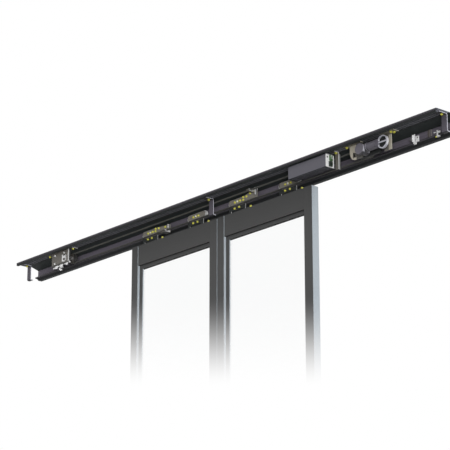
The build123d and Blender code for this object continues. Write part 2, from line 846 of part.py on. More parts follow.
# Terminal block on the wall near the right end, with a column of slots
terminal_width = 30
terminal_depth = 18
terminal_height = 34
terminal_low_z = ledge_z + 2
terminal_pitch = 8
with BuildPart() as terminal_block:
    with BuildSketch(Plane.XY.offset(terminal_low_z)):
        with Locations((terminal_x, wall_y - terminal_depth / 2)):
            Rectangle(terminal_width, terminal_depth)
    extrude(amount=terminal_height)
    with BuildSketch(Plane.XZ.offset(-(wall_y - terminal_depth))):
        with Locations((terminal_x, terminal_low_z + terminal_height / 2)):
            with GridLocations(1, terminal_pitch, 1, 4):
                Rectangle(terminal_width - terminal_pitch, terminal_pitch / 2)
    extrude(amount=-terminal_depth / 4, mode=Mode.SUBTRACT)
terminal_block.part.label = "terminal_block"
export_step(terminal_block.part, "parts/terminal_block.step")

# Clamp that grips the track and the nose at the right end
clamp_width = 30
clamp_wall = 4
with BuildPart() as track_clamp:
    with BuildSketch(Plane.YZ.offset(clamp_x - clamp_width / 2)):
        with BuildLine():
            Polyline(
                (nose_tip_y - clamp_wall, nose_under_z - clamp_wall),
                (valley_y, nose_under_z - clamp_wall),
                (valley_y, nose_under_z),
                (nose_tip_y, nose_under_z),
                (nose_tip_y, track_top_z),
                (track_y + track_width / 2, track_top_z),
                (track_y + track_width / 2, track_top_z + 3 * clamp_wall),
                (nose_tip_y - clamp_wall, track_top_z + 3 * clamp_wall),
                close=True,
            )
        make_face()
    extrude(amount=clamp_width)
    with BuildSketch(Plane.XZ.offset(-(nose_tip_y - clamp_wall))):
        with Locations((clamp_x, (track_top_z + nose_under_z) / 2 + 6)):
            RegularPolygon(bolt_head_r, 6)
    extrude(amount=bolt_head)
track_clamp.part.label = "track_clamp"
export_step(track_clamp.part, "parts/track_clamp.step")

# Screws with washers under every bracket flange, heads down
with BuildPart() as flange_screws:
    with BuildSketch(Plane.XY.offset(ceiling_z - flange_thickness)):
        with Locations(*flange_spots):
            Circle(washer_r)
    extrude(amount=-washer_height)
    with BuildSketch(Plane.XY.offset(ceiling_z - flange_thickness - washer_height)):
        with Locations(*flange_spots):
            RegularPolygon(screw_head_r, 6)
    extrude(amount=-screw_head_height)
    with BuildSketch(Plane.XY.offset(ceiling_z - flange_thickness)):
        with Locations(*flange_spots):
            Circle(screw_shank_r)
    extrude(amount=flange_thickness + skin)
flange_screws.part.label = "flange_screws"
export_step(flange_screws.part, "parts/flange_screws.step")


# Carriage wheel: grooved roller on a horizontal stud
def make_wheel(name, x):
    half = wheel_width / 2
    with BuildPart() as wheel:
        with BuildSketch(Plane.XY.offset(wheel_z)):
            with BuildLine():
                Polyline(
                    (x + axle_r + turning_gap, track_y - half),
                    (x + wheel_flange_r, track_y - half),
                    (x + wheel_flange_r, track_y - wheel_groove_top),
                    (x + wheel_r, track_y - wheel_groove_bottom),
                    (x + wheel_r, track_y + wheel_groove_bottom),
                    (x + wheel_flange_r, track_y + wheel_groove_top),
                    (x + wheel_flange_r, track_y + half),
                    (x + axle_r + turning_gap, track_y + half),
                    close=True,
                )
            make_face()
        revolve(axis=Axis((x, track_y, wheel_z), (0, 1, 0)))
    wheel.part.label = name
    export_step(wheel.part, f"parts/{name}.step")


# Carriage plate: wide top with bevelled ends and a neck down to the hanger
def make_carriage(name, x):
    half = carriage_length / 2
    bevel = 8
    neck = carriage_neck_width / 2
    with BuildPart() as carriage:
        with BuildSketch(Plane.XZ.offset(-(plate_y + carriage_plate))):
            with BuildLine():
                Polyline(
                    (x - half, carriage_waist_z + bevel),
                    (x - half, carriage_top_z - bevel),
                    (x - half + bevel, carriage_top_z),
                    (x + half - bevel, carriage_top_z),
                    (x + half, carriage_top_z - bevel),
                    (x + half, carriage_waist_z + bevel),
                    (x + half - bevel, carriage_waist_z),
                    (x + neck, carriage_waist_z),
                    (x + neck, carriage_neck_z),
                    (x - neck, carriage_neck_z),
                    (x - neck, carriage_waist_z),
                    (x - half + bevel, carriage_waist_z),
                    close=True,
                )
            make_face()
            with Locations((x, wheel_z)):
                with GridLocations(2 * wheel_dx, 1, 2, 1):
                    Circle(axle_r, mode=Mode.SUBTRACT)
            with Locations((x, yellow_z)):
                with GridLocations(yellow_dx, 1, 3, 1):
                    Circle(bolt_r, mode=Mode.SUBTRACT)
            with Locations((x, hanger_bolt_z)):
                with GridLocations(2 * hanger_bolt_dx, 1, 2, 1):
                    Circle(bolt_r, mode=Mode.SUBTRACT)
            with Locations(*[(x + bracket_bolt_dx, z) for z in bracket_bolt_zs]):
                Circle(bolt_r, mode=Mode.SUBTRACT)
        extrude(amount=carriage_plate)
    carriage.part.label = name
    export_step(carriage.part, f"parts/{name}.step")


# Axle studs: head in front of the plate, spacer, journal and end cap
def make_axle_studs(name, carriage_xs):
    plate_back_y = plate_y + carriage_plate
    wheel_front_y = track_y - wheel_width / 2
    wheel_back_y = track_y + wheel_width / 2
    spots = [(x + dx, wheel_z) for x in carriage_xs for dx in (-wheel_dx, wheel_dx)]
    with BuildPart() as studs:
        with BuildSketch(Plane.XZ.offset(-plate_y)):
            with Locations(*spots):
                Circle(axle_head_r)
        extrude(amount=axle_r)
        with BuildSketch(Plane.XZ.offset(-(wheel_back_y + side_gap))):
            with Locations(*spots):
                Circle(axle_r)
        extrude(amount=wheel_back_y + side_gap - plate_y)
        with BuildSketch(Plane.XZ.offset(-(wheel_front_y - side_gap))):
            with Locations(*spots):
                Circle(axle_head_r)
        extrude(amount=wheel_front_y - side_gap - plate_back_y)
        with BuildSketch(Plane.XZ.offset(-(wheel_back_y + side_gap))):
            with Locations(*spots):
                Circle(axle_head_r)
        extrude(amount=-axle_r / 2)
    studs.part.label = name
    export_step(studs.part, f"parts/{name}.step")


# Hanger angles: slotted plate in front of the neck, two legs and a foot that
# is bolted to the top rail
def make_hangers(name, carriage_xs):
    foot_x0 = -hanger_length / 2 - hanger_leg / 2
    foot_x1 = foot_bolt_dx + hanger_leg / 2 + 2
    plate_mid_z = (hanger_top_z + hanger_bottom_z) / 2
    foot_top_z = leaf_top_z + hanger_plate
    foot_mid_y = hanger_y + hanger_foot_depth / 2
    with BuildPart() as hangers:
        for x in carriage_xs:
            with BuildSketch(Plane.XZ.offset(-(hanger_y + hanger_plate))):
                with Locations((x, plate_mid_z)):
                    Rectangle(hanger_length, hanger_top_z - hanger_bottom_z)
                with Locations((x, (hanger_bottom_z + leaf_top_z) / 2)):
                    with GridLocations(hanger_length - hanger_leg, 1, 2, 1):
                        Rectangle(hanger_leg, hanger_bottom_z - leaf_top_z)
                with Locations((x, hanger_bolt_z)):
                    with GridLocations(2 * hanger_bolt_dx, 1, 2, 1):
                        SlotOverall(2.6 * bolt_r, 2 * bolt_r, rotation=90, mode=Mode.SUBTRACT)
            extrude(amount=hanger_plate)
            with BuildSketch(Plane.XY.offset(leaf_top_z)):
                with Locations((x + (foot_x0 + foot_x1) / 2, foot_mid_y)):
                    Rectangle(foot_x1 - foot_x0, hanger_foot_depth)
                with Locations((x + foot_bolt_dx, leaf_y)):
                    Circle(bolt_r, mode=Mode.SUBTRACT)
            extrude(amount=foot_top_z - leaf_top_z)
    hangers.part.label = name
    export_step(hangers.part, f"parts/{name}.step")


# Yellow bolts and the adjusting screws of one leaf's carriages
def make_carriage_bolts(name, carriage_xs, bracket_x, end_bolts):
    plate_back_y = plate_y + carriage_plate
    nut = bolt_head / 2
    upper = [(x + dx, yellow_z) for x in carriage_xs for dx in (-yellow_dx, 0, yellow_dx)]
    lower = [
        (x + dx, hanger_bolt_z)
        for x in carriage_xs
        for dx in (-hanger_bolt_dx, hanger_bolt_dx)
    ]
    joined = [(bracket_x + bracket_bolt_dx, z) for z in bracket_bolt_zs]
    ends = [(bracket_x + dx, z) for dx, z in end_bolts]
    rows = (
        (upper, plate_y, plate_back_y, nut),
        (lower, hanger_y, plate_back_y, nut),
        (joined, hanger_y, plate_back_y, 0),
        (ends, hanger_y, plate_y, nut),
    )
    with BuildPart() as bolts:
        for spots, head_y, nut_y, nut_height in rows:
            with BuildSketch(Plane.XZ.offset(-head_y)):
                with Locations(*spots):
                    RegularPolygon(bolt_head_r, 6)
            extrude(amount=bolt_head)
            with BuildSketch(Plane.XZ.offset(-nut_y)):
                with Locations(*spots):
                    Circle(bolt_r)
            extrude(amount=nut_y - head_y)
            if nut_height:
                with BuildSketch(Plane.XZ.offset(-nut_y)):
                    with Locations(*spots):
                        RegularPolygon(bolt_head_r, 6)
                extrude(amount=-nut_height)
        foot_spots = [(x + foot_bolt_dx, leaf_y) for x in carriage_xs]
        with BuildSketch(Plane.XY.offset(leaf_top_z + hanger_plate)):
            with Locations(*foot_spots):
                RegularPolygon(bolt_head_r, 6)
        extrude(amount=foot_bolt_head)
        with BuildSketch(Plane.XY.offset(leaf_top_z - frame_wall)):
            with Locations(*foot_spots):
                Circle(bolt_r)
        extrude(amount=hanger_plate + frame_wall)
    bolts.part.label = name
    export_step(bolts.part, f"parts/{name}.step")


# Arm and jaws that hold one run of the belt between two lips
jaw_back_y = belt_y + belt_width / 2 + belt_gap
jaw_front_y = belt_y - belt_width / 2 - belt_gap
upper_run_z = pulley_z + pulley_pitch_r
lower_run_z = pulley_z - pulley_pitch_r


def jaw_outline(run_z):
    slot = belt_thickness / 2 + belt_gap
    Polyline(
        (hanger_y, run_z + slot + jaw_wall),
        (jaw_front_y - jaw_wall, run_z + slot + jaw_wall),
        (jaw_front_y - jaw_wall, run_z + slot),
        (jaw_back_y, run_z + slot),
        (jaw_back_y, run_z - slot),
        (jaw_front_y, run_z - slot),
        (jaw_front_y, run_z - slot - jaw_wall),
        (hanger_y, run_z - slot - jaw_wall),
        close=True,
    )


# Middle of a carriage; side is -1 left, +1 right
def carriage_x(side, place):
    out = 1 if place == "outer" else -1
    leaf_mid_x = side * (leaf_gap + leaf_width) / 2
    return leaf_mid_x + carriage_shift + side * out * carriage_spacing / 2


# Lip bent forward along the right edge of a belt bracket
def bracket_edge_lip(x1, z_range):
    low_z, high_z = z_range
    with BuildPart() as lip:
        with BuildSketch(Plane.YZ.offset(x1 - bracket_lip_wall)):
            with Locations((hanger_y - bracket_lip / 2, (low_z + high_z) / 2)):
                Rectangle(bracket_lip, high_z - low_z)
        extrude(amount=bracket_lip_wall)
    return lip


# Left belt bracket: drops from the outer carriage to the lower run
left_outer_x = carriage_x(-1, "outer")
left_bolts = [(left_outer_x + bracket_bolt_dx, z) for z in bracket_bolt_zs]
left_bolts += [(left_outer_x + dx, z) for dx, z in left_end_bolts]
with BuildPart() as left_belt_bracket:
    with BuildSketch(Plane.XZ.offset(-(hanger_y + belt_bracket_plate))):
        with BuildLine():
            Polyline(
                (left_outer_x + 54, carriage_top_z - 4),
                (left_outer_x + 96, carriage_top_z - 4),
                (left_jaw_x + left_jaw_length / 2, -2),
                (left_jaw_x + left_jaw_length / 2, lower_run_z - 7),
                (left_jaw_x - left_jaw_length / 2, lower_run_z - 7),
                (left_jaw_x - left_jaw_length / 2, -28),
                (left_outer_x + 96, carriage_waist_z),
                (left_outer_x + 54, carriage_waist_z),
                close=True,
            )
        make_face()
        with Locations(*left_bolts):
            Circle(bolt_r, mode=Mode.SUBTRACT)
        with Locations((left_outer_x + wheel_dx, wheel_z)):
            Circle(axle_head_r + 1, mode=Mode.SUBTRACT)
    extrude(amount=belt_bracket_plate)
    with BuildSketch(Plane.YZ.offset(left_jaw_x - left_jaw_length / 2)):
        with BuildLine():
            jaw_outline(lower_run_z)
        make_face()
    extrude(amount=left_jaw_length)
    add(bracket_edge_lip(left_jaw_x + left_jaw_length / 2, left_lip_zs).part)
left_belt_bracket.part.label = "left_belt_bracket"
export_step(left_belt_bracket.part, "parts/left_belt_bracket.step")

# Right belt bracket: rises from the inner carriage to the upper run
right_inner_x = carriage_x(1, "inner")
right_plate_x1 = right_jaw_x + right_jaw_length / 2 + right_plate_reach
right_bolts = [(right_inner_x + bracket_bolt_dx, z) for z in bracket_bolt_zs]
right_bolts += [(right_inner_x + dx, z) for dx, z in right_end_bolts]
with BuildPart() as right_belt_bracket:
    with BuildSketch(Plane.XZ.offset(-(hanger_y + belt_bracket_plate))):
        with BuildLine():
            Polyline(
                (right_inner_x + 54, carriage_waist_z),
                (right_inner_x + 54, carriage_top_z - 4),
                (right_jaw_x - right_jaw_length / 2, upper_run_z + 7),
                (right_plate_x1, upper_run_z + 14),
                (right_plate_x1, carriage_waist_z),
                close=True,
            )
        make_face()
        with Locations(*right_bolts):
            Circle(bolt_r, mode=Mode.SUBTRACT)
        with Locations((right_inner_x + wheel_dx, wheel_z)):
            Circle(axle_head_r + 1, mode=Mode.SUBTRACT)
    extrude(amount=belt_bracket_plate)
    with BuildSketch(Plane.YZ.offset(right_jaw_x - right_jaw_length / 2)):
        with BuildLine():
            jaw_outline(upper_run_z)
        make_face()
    extrude(amount=right_jaw_length)
    add(bracket_edge_lip(right_plate_x1, right_lip_zs).part)
right_belt_bracket.part.label = "right_belt_bracket"
export_step(right_belt_bracket.part, "parts/right_belt_bracket.step")


# Upright of a leaf: hollow section with a glazing pocket on one side
def make_stile(name, x, pocket_side):
    half = stile_width / 2
    pocket_x = x + pocket_side * (half - pocket_depth / 2)
    cell_width = stile_width - 3 * frame_wall - pocket_depth
    cell_x = x - pocket_side * (half - frame_wall - cell_width / 2)
    with BuildPart() as stile:
        with BuildSketch(Plane.XY.offset(leaf_bottom_z)):
            with Locations((x, leaf_y)):
                Rectangle(stile_width, leaf_thickness)
            with Locations((pocket_x, leaf_y)):
                Rectangle(pocket_depth, pocket_width, mode=Mode.SUBTRACT)
            with Locations((cell_x, leaf_y)):
                Rectangle(cell_width, leaf_thickness - 2 * frame_wall, mode=Mode.SUBTRACT)
        extrude(amount=leaf_height)
    stile.part.label = name
    export_step(stile.part, f"parts/{name}.step")


# Top or bottom rail between the stiles, with its pocket towards the glass
def make_rail(name, x0, x1, z0, height, pocket_up, bolt_xs):
    mid_z = z0 + height / 2
    up = 1 if pocket_up else -1
    pocket_z = mid_z + up * (height / 2 - pocket_depth / 2)
    cell_height = height - 3 * frame_wall - pocket_depth
    cell_z = mid_z - up * (height / 2 - frame_wall - cell_height / 2)
    with BuildPart() as rail:
        with BuildSketch(Plane.YZ.offset(x0)):
            with Locations((leaf_y, mid_z)):
                Rectangle(leaf_thickness, height)
            with Locations((leaf_y, pocket_z)):
                Rectangle(pocket_width, pocket_depth, mode=Mode.SUBTRACT)
            with Locations((leaf_y, cell_z)):
                Rectangle(leaf_thickness - 2 * frame_wall, cell_height, mode=Mode.SUBTRACT)
        extrude(amount=x1 - x0)
        for x in bolt_xs:
            with BuildSketch(Plane.XY.offset(z0 + height)):
                with Locations((x, leaf_y)):
                    Circle(bolt_r)
            extrude(amount=-frame_wall, mode=Mode.SUBTRACT)
    rail.part.label = name
    export_step(rail.part, f"parts/{name}.step")


# Glass pane, held in the pockets by the gaskets
def make_glass(name, x0, x1, z0, z1):
    reach = pocket_depth - glass_edge_gap
    with BuildPart() as glass:
        with BuildSketch(Plane.XY.offset(z0 - reach)):
            with Locations(((x0 + x1) / 2, leaf_y)):
                Rectangle(x1 - x0 + 2 * reach, glass_thickness)
        extrude(amount=z1 - z0 + 2 * reach)
    glass.part.label = name
    export_step(glass.part, f"parts/{name}.step")


# Rubber of one leaf: gaskets either side of the glass, with a lip showing past
# the frame, and the meeting seal
def make_seals(name, x0, x1, z0, z1, meeting_x, side):
    strip = (pocket_width - glass_thickness) / 2
    reach = pocket_depth - glass_edge_gap
    lip_shift = (gasket_lip - reach) / 2
    strip_y = glass_thickness / 2 + strip / 2
    seal_width = (leaf_gap - rolling_gap) / 2
    with BuildPart() as seals:
        for y in (leaf_y - strip_y, leaf_y + strip_y):
            with BuildSketch(Plane.XY.offset(z0 - reach)):
                with Locations((x0 + lip_shift, y), (x1 - lip_shift, y)):
                    Rectangle(reach + gasket_lip, strip)
            extrude(amount=z1 - z0 + 2 * reach)
            for z in (z0 - reach, z1 - gasket_lip):
                with BuildSketch(Plane.XY.offset(z)):
                    with Locations(((x0 + x1) / 2, y)):
                        Rectangle(x1 - x0, strip)
                extrude(amount=reach + gasket_lip)
        with BuildSketch(Plane.XY.offset(leaf_bottom_z)):
            with Locations((meeting_x - side * seal_width / 2, leaf_y)):
                Rectangle(seal_width, seal_depth)
        extrude(amount=leaf_height)
    seals.part.label = name
    export_step(seals.part, f"parts/{name}.step")


# One leaf with everything that travels with it; side is -1 left, +1 right
def make_leaf(word, side):
    meeting_x = side * leaf_gap / 2
    outer_x = side * (leaf_gap / 2 + leaf_width)
    meeting_mid = meeting_x + side * stile_width / 2
    outer_mid = outer_x - side * stile_width / 2
    x0, x1 = sorted((meeting_x + side * stile_width, outer_x - side * stile_width))
    z0 = leaf_bottom_z + bottom_rail_height
    z1 = leaf_top_z - top_rail_height
    carriages = {place: carriage_x(side, place) for place in ("inner", "outer")}
    xs = sorted(carriages.values())
    bolt_xs = [x + foot_bolt_dx for x in xs]
    make_stile(f"{word}_meeting_stile", meeting_mid, side)
    make_stile(f"{word}_outer_stile", outer_mid, -side)
    make_rail(f"{word}_top_rail", x0, x1, z1, top_rail_height, False, bolt_xs)
    make_rail(f"{word}_bottom_rail", x0, x1, leaf_bottom_z, bottom_rail_height, True, [])
    make_glass(f"{word}_glass", x0, x1, z0, z1)
    make_seals(f"{word}_seals", x0, x1, z0, z1, meeting_x, side)
    make_axle_studs(f"{word}_axle_studs", xs)
    make_hangers(f"{word}_hangers", xs)
    bracket_x = right_inner_x if side > 0 else left_outer_x
    end_bolts = right_end_bolts if side > 0 else left_end_bolts
    make_carriage_bolts(f"{word}_carriage_bolts", xs, bracket_x, end_bolts)
    for place, x in carriages.items():
        make_carriage(f"{word}_{place}_carriage", x)
        make_wheel(f"{word}_{place}_wheel_a", x - wheel_dx)
        make_wheel(f"{word}_{place}_wheel_b", x + wheel_dx)


make_leaf("left", -1)
make_leaf("right", 1)
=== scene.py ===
import json
import math

import bmesh
import bpy
from mathutils import Matrix, Vector


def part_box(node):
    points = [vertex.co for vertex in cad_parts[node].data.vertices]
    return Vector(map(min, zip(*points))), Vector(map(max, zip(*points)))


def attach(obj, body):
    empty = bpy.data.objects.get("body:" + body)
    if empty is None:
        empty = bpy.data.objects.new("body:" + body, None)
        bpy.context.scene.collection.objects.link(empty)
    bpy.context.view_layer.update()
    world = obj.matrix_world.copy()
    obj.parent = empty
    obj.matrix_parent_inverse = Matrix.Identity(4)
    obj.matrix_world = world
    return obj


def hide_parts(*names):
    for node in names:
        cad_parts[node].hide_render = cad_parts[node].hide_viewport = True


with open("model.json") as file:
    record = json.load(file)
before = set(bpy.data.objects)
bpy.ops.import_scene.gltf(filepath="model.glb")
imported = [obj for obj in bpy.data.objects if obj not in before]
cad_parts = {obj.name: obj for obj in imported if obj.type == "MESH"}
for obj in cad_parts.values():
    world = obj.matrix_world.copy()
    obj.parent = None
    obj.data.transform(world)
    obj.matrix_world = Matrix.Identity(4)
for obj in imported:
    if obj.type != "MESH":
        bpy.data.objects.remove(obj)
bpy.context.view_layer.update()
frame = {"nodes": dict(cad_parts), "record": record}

nodes = frame["nodes"]
slotOf = {part["node"]: part["material_slot"] for part in frame["record"]["subparts"]}
scene = bpy.context.scene
mm = 0.001
print("frame loaded:", len(nodes), "nodes")


# Camera: from the front right, below the header, looking up
cameraSettings = {
    "azimuth": 49.63,
    "lookUp": 17.2,
    "distance": 12.3,
    "aim": (0.015, -0.026, -0.118),
    "lens": 150.7,
    "sensor": 36.0,
    "clip": (0.1, 300),
}


def directionFrom(azimuth, elevation):
    turn = math.radians(azimuth)
    tilt = math.radians(elevation)
    return Vector((math.sin(turn) * math.cos(tilt), -math.cos(turn) * math.cos(tilt), math.sin(tilt)))


def makeCamera(s):
    back = directionFrom(s["azimuth"], -s["lookUp"])
    data = bpy.data.cameras.new("photoCamera")
    data.lens = s["lens"]
    data.sensor_width = s["sensor"]
    data.clip_start, data.clip_end = s["clip"]
    camera = bpy.data.objects.new("photoCamera", data)
    scene.collection.objects.link(camera)
    camera.location = Vector(s["aim"]) + s["distance"] * back
    camera.rotation_mode = "QUATERNION"
    camera.rotation_quaternion = (-back).to_track_quat("-Z", "Y")
    scene.camera = camera


makeCamera(cameraSettings)
scene.view_settings.view_transform = "Standard"
print("camera set")


# Small helpers for all node trees
def linkNodes(tree, fromNode, output, toNode, toInput):
    tree.links.new(fromNode.outputs[output], toNode.inputs[toInput])


def setOrLink(tree, socket, value):
    if isinstance(value, (int, float)):
        socket.default_value = value
    else:
        tree.links.new(value, socket)


def maths(tree, operation, *values):
    node = tree.nodes.new("ShaderNodeMath")
    node.operation = operation
    for place, value in enumerate(values):
        setOrLink(tree, node.inputs[place], value)
    return node.outputs[0]


def joinXyz(tree, x=0.0, y=0.0, z=0.0):
    node = tree.nodes.new("ShaderNodeCombineXYZ")
    for label, value in (("X", x), ("Y", y), ("Z", z)):
        setOrLink(tree, node.inputs[label], value)
    return node.outputs[0]


def splitXyz(tree, node, output):
    split = tree.nodes.new("ShaderNodeSeparateXYZ")
    linkNodes(tree, node, output, split, 0)
    return split.outputs


def rampOver(tree, value, reach):  # 0 at the first end of the reach and 1 at the second
    node = tree.nodes.new("ShaderNodeMapRange")
    node.inputs["From Min"].default_value = reach[0]
    node.inputs["From Max"].default_value = reach[1]
    tree.links.new(value, node.inputs["Value"])
    return node


def backgroundRays(tree):
    path = tree.nodes.new("ShaderNodeLightPath")
    seen = maths(tree, "MAXIMUM", path.outputs["Is Camera Ray"], path.outputs["Is Glossy Ray"])
    return maths(tree, "MAXIMUM", seen, path.outputs["Is Transmission Ray"]), path


# Lamps and world: one broad lamp low on the right, a top lamp for the floor's shadow, a weak back lamp
lampSettings = {
    "sideLamp": {"azimuth": 50, "elevation": -8, "strength": 2.3, "spread": 30},
    "topLamp": {"azimuth": 20, "elevation": 62, "strength": 1.0, "spread": 30},
    "backLamp": {"azimuth": 215, "elevation": 20, "strength": 1.0, "spread": 40},
}
worldSettings = {"background": 1.0, "ambient": 0.5}


def addLamp(name, s):
    data = bpy.data.lights.new(name, "SUN")
    data.energy = s["strength"]
    data.angle = math.radians(s["spread"])
    lamp = bpy.data.objects.new(name, data)
    scene.collection.objects.link(lamp)
    lamp.rotation_mode = "QUATERNION"
    toLamp = directionFrom(s["azimuth"], s["elevation"])
    lamp.rotation_quaternion = (-toLamp).to_track_quat("-Z", "Y")
    lamp.visible_transmission = False  # the panes show the background, not a lamp behind them


def makeWorld(s):
    world = bpy.data.worlds.new("studio")
    scene.world = world
    world.use_nodes = True
    tree = world.node_tree
    background = tree.nodes["Background"]
    background.inputs["Color"].default_value = (1, 1, 1, 1)
    seen, _ = backgroundRays(tree)
    extra = maths(tree, "MULTIPLY", seen, s["background"] - s["ambient"])
    strength = maths(tree, "ADD", extra, s["ambient"])
    tree.links.new(strength, background.inputs["Strength"])


for name, s in lampSettings.items():
    addLamp(name, s)
makeWorld(worldSettings)
print("lamps and world set")


# Floor: pale and shadowed from above; from below it is white near the doors and clears further out
floorSettings = {
    "size": 40.0,
    "below": 2 * mm,
    "color": (0.86, 0.86, 0.86),
    "bounceColor": (0.16, 0.16, 0.16),
    "viewAcross": (0.762, -0.648),
    "whiteTo": 4.55,
    "clearFrom": 5.95,
    "whiteBehind": -1.5,
}


def matteNode(tree, color):
    node = tree.nodes.new("ShaderNodeBsdfDiffuse")
    node.inputs["Color"].default_value = (*color, 1)
    return node


def mixShaders(tree, share, first, second):
    mix = tree.nodes.new("ShaderNodeMixShader")
    tree.links.new(share, mix.inputs[0])
    linkNodes(tree, first, 0, mix, 1)
    linkNodes(tree, second, 0, mix, 2)
    return mix


def makeFloorFinish(s):
    material = bpy.data.materials.new("paleFloor")
    material.use_nodes = True
    tree = material.node_tree
    tree.nodes.clear()
    output = tree.nodes.new("ShaderNodeOutputMaterial")
    seen, path = backgroundRays(tree)
    fromAbove = mixShaders(tree, seen, matteNode(tree, s["bounceColor"]), matteNode(tree, s["color"]))

    spot = splitXyz(tree, tree.nodes.new("ShaderNodeTexCoord"), "Object")
    acrossX = maths(tree, "MULTIPLY", spot["X"], s["viewAcross"][0])
    across = maths(tree, "MULTIPLY_ADD", spot["Y"], s["viewAcross"][1], acrossX)
    fade = rampOver(tree, across, (s["clearFrom"], s["whiteTo"]))
    fade.interpolation_type = "SMOOTHSTEP"
    inFront = maths(tree, "GREATER_THAN", across, s["whiteBehind"])
    opaque = maths(tree, "MULTIPLY", fade.outputs[0], inFront)
    opaqueToCamera = maths(tree, "MULTIPLY", opaque, path.outputs["Is Camera Ray"])
    clear = tree.nodes.new("ShaderNodeBsdfTransparent")
    white = tree.nodes.new("ShaderNodeEmission")
    fromBelow = mixShaders(tree, opaqueToCamera, clear, white)

    facing = tree.nodes.new("ShaderNodeNewGeometry")
    either = mixShaders(tree, facing.outputs["Backfacing"], fromAbove, fromBelow)
    lampThrough = mixShaders(tree, path.outputs["Is Shadow Ray"], either, clear)  # the low lamp shines up
    linkNodes(tree, lampThrough, 0, output, "Surface")
    return material


def makeFloor(s):
    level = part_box("left_bottom_rail")[0].z - s["below"]
    half = s["size"] / 2
    builder = bmesh.new()
    outline = ((-half, -half), (half, -half), (half, half), (-half, half))
    builder.faces.new([builder.verts.new((x, y, level)) for x, y in outline])
    mesh = bpy.data.meshes.new("floor")
    builder.to_mesh(mesh)
    builder.free()
    floor = bpy.data.objects.new("floor", mesh)
    scene.collection.objects.link(floor)
    mesh.materials.append(makeFloorFinish(s))


makeFloor(floorSettings)
print("floor laid")


# Shader groups shared by the finishes
colorSocket, vectorSocket, floatSocket = "NodeSocketColor", "NodeSocketVector", "NodeSocketFloat"
midGrey = (0.5, 0.5, 0.5, 1)
grainSettings = {"detail": 3, "spread": (0.36, 0.64)}
# Facing light: normal ranges for the painted highlight on faces along x and the painted shade on undersides
facingLightSettings = {"end": (0.75, 0.9), "under": (-0.3, -0.8)}
dustSettings = {"color": (0.35, 0.34, 0.32, 1), "patchScale": 18.0, "detail": 4, "up": (0.2, 0.95)}
zoneSharpness = 2000.0


def newShaderGroup(name, inputs, outputs):
    group = bpy.data.node_groups.new(name, "ShaderNodeTree")
    for label, kind, value in inputs:
        socket = group.interface.new_socket(label, in_out="INPUT", socket_type=kind)
        socket.default_value = value
    for label, kind in outputs:
        group.interface.new_socket(label, in_out="OUTPUT", socket_type=kind)
    return group, group.nodes.new("NodeGroupInput"), group.nodes.new("NodeGroupOutput")


def mixColors(tree, share, first, second):
    mix = tree.nodes.new("ShaderNodeMix")
    mix.data_type = "RGBA"
    tree.links.new(share, mix.inputs["Factor"])
    tree.links.new(first, mix.inputs[6])
    tree.links.new(second, mix.inputs[7])
    return mix.outputs[2]


def vectorMaths(tree, operation):
    node = tree.nodes.new("ShaderNodeVectorMath")
    node.operation = operation
    return node


def makeGrainGroup(s):  # lengthwise drawing lines or an even speckle, by the scale on each axis
    group, start, end = newShaderGroup(
        "grain",
        [
            ("Color", colorSocket, midGrey),
            ("Fleck Color", colorSocket, (0.4, 0.4, 0.4, 1)),
            ("Scale", vectorSocket, (200, 200, 200)),
            ("Contrast", floatSocket, 0.5),
            ("Roughness", floatSocket, 0.5),
            ("Roughness Spread", floatSocket, 0.1),
        ],
        [("Color", colorSocket), ("Roughness", floatSocket), ("Height", floatSocket)],
    )
    place = group.nodes.new("ShaderNodeTexCoord")
    stretch = vectorMaths(group, "MULTIPLY")
    linkNodes(group, place, "Object", stretch, 0)
    linkNodes(group, start, "Scale", stretch, 1)
    noise = group.nodes.new("ShaderNodeTexNoise")
    noise.inputs["Scale"].default_value = 1
    noise.inputs["Detail"].default_value = s["detail"]
    linkNodes(group, stretch, 0, noise, "Vector")
    spread = rampOver(group, noise.outputs["Fac"], s["spread"]).outputs[0]
    share = maths(group, "MULTIPLY", spread, start.outputs["Contrast"])
    color = mixColors(group, share, start.outputs["Color"], start.outputs["Fleck Color"])
    group.links.new(color, end.inputs["Color"])
    centred = maths(group, "SUBTRACT", spread, 0.5)
    change = maths(group, "MULTIPLY", centred, start.outputs["Roughness Spread"])
    rough = maths(group, "ADD", change, start.outputs["Roughness"])
    group.links.new(rough, end.inputs["Roughness"])
    linkNodes(group, noise, "Fac", end, "Height")
    return group


def makeFacingLightGroup(s):  # painted light by facing: faces along x take a painted highlight tone, undersides a painted shade tone (lighter on the belt)
    group, start, end = newShaderGroup(
        "faceColor",
        [
            ("Color", colorSocket, midGrey),
            ("End Lit Color", colorSocket, midGrey),
            ("Under Lit Color", colorSocket, midGrey),
        ],
        [("Color", colorSocket), ("End Lit Mask", floatSocket)],
    )
    way = splitXyz(group, group.nodes.new("ShaderNodeTexCoord"), "Normal")
    endLitMask = rampOver(group, maths(group, "ABSOLUTE", way["X"]), s["end"]).outputs[0]
    underLitMask = rampOver(group, way["Z"], s["under"]).outputs[0]
    under = mixColors(group, underLitMask, start.outputs["Color"], start.outputs["Under Lit Color"])
    color = mixColors(group, endLitMask, under, start.outputs["End Lit Color"])
    group.links.new(color, end.inputs["Color"])
    group.links.new(endLitMask, end.inputs["End Lit Mask"])
    return group


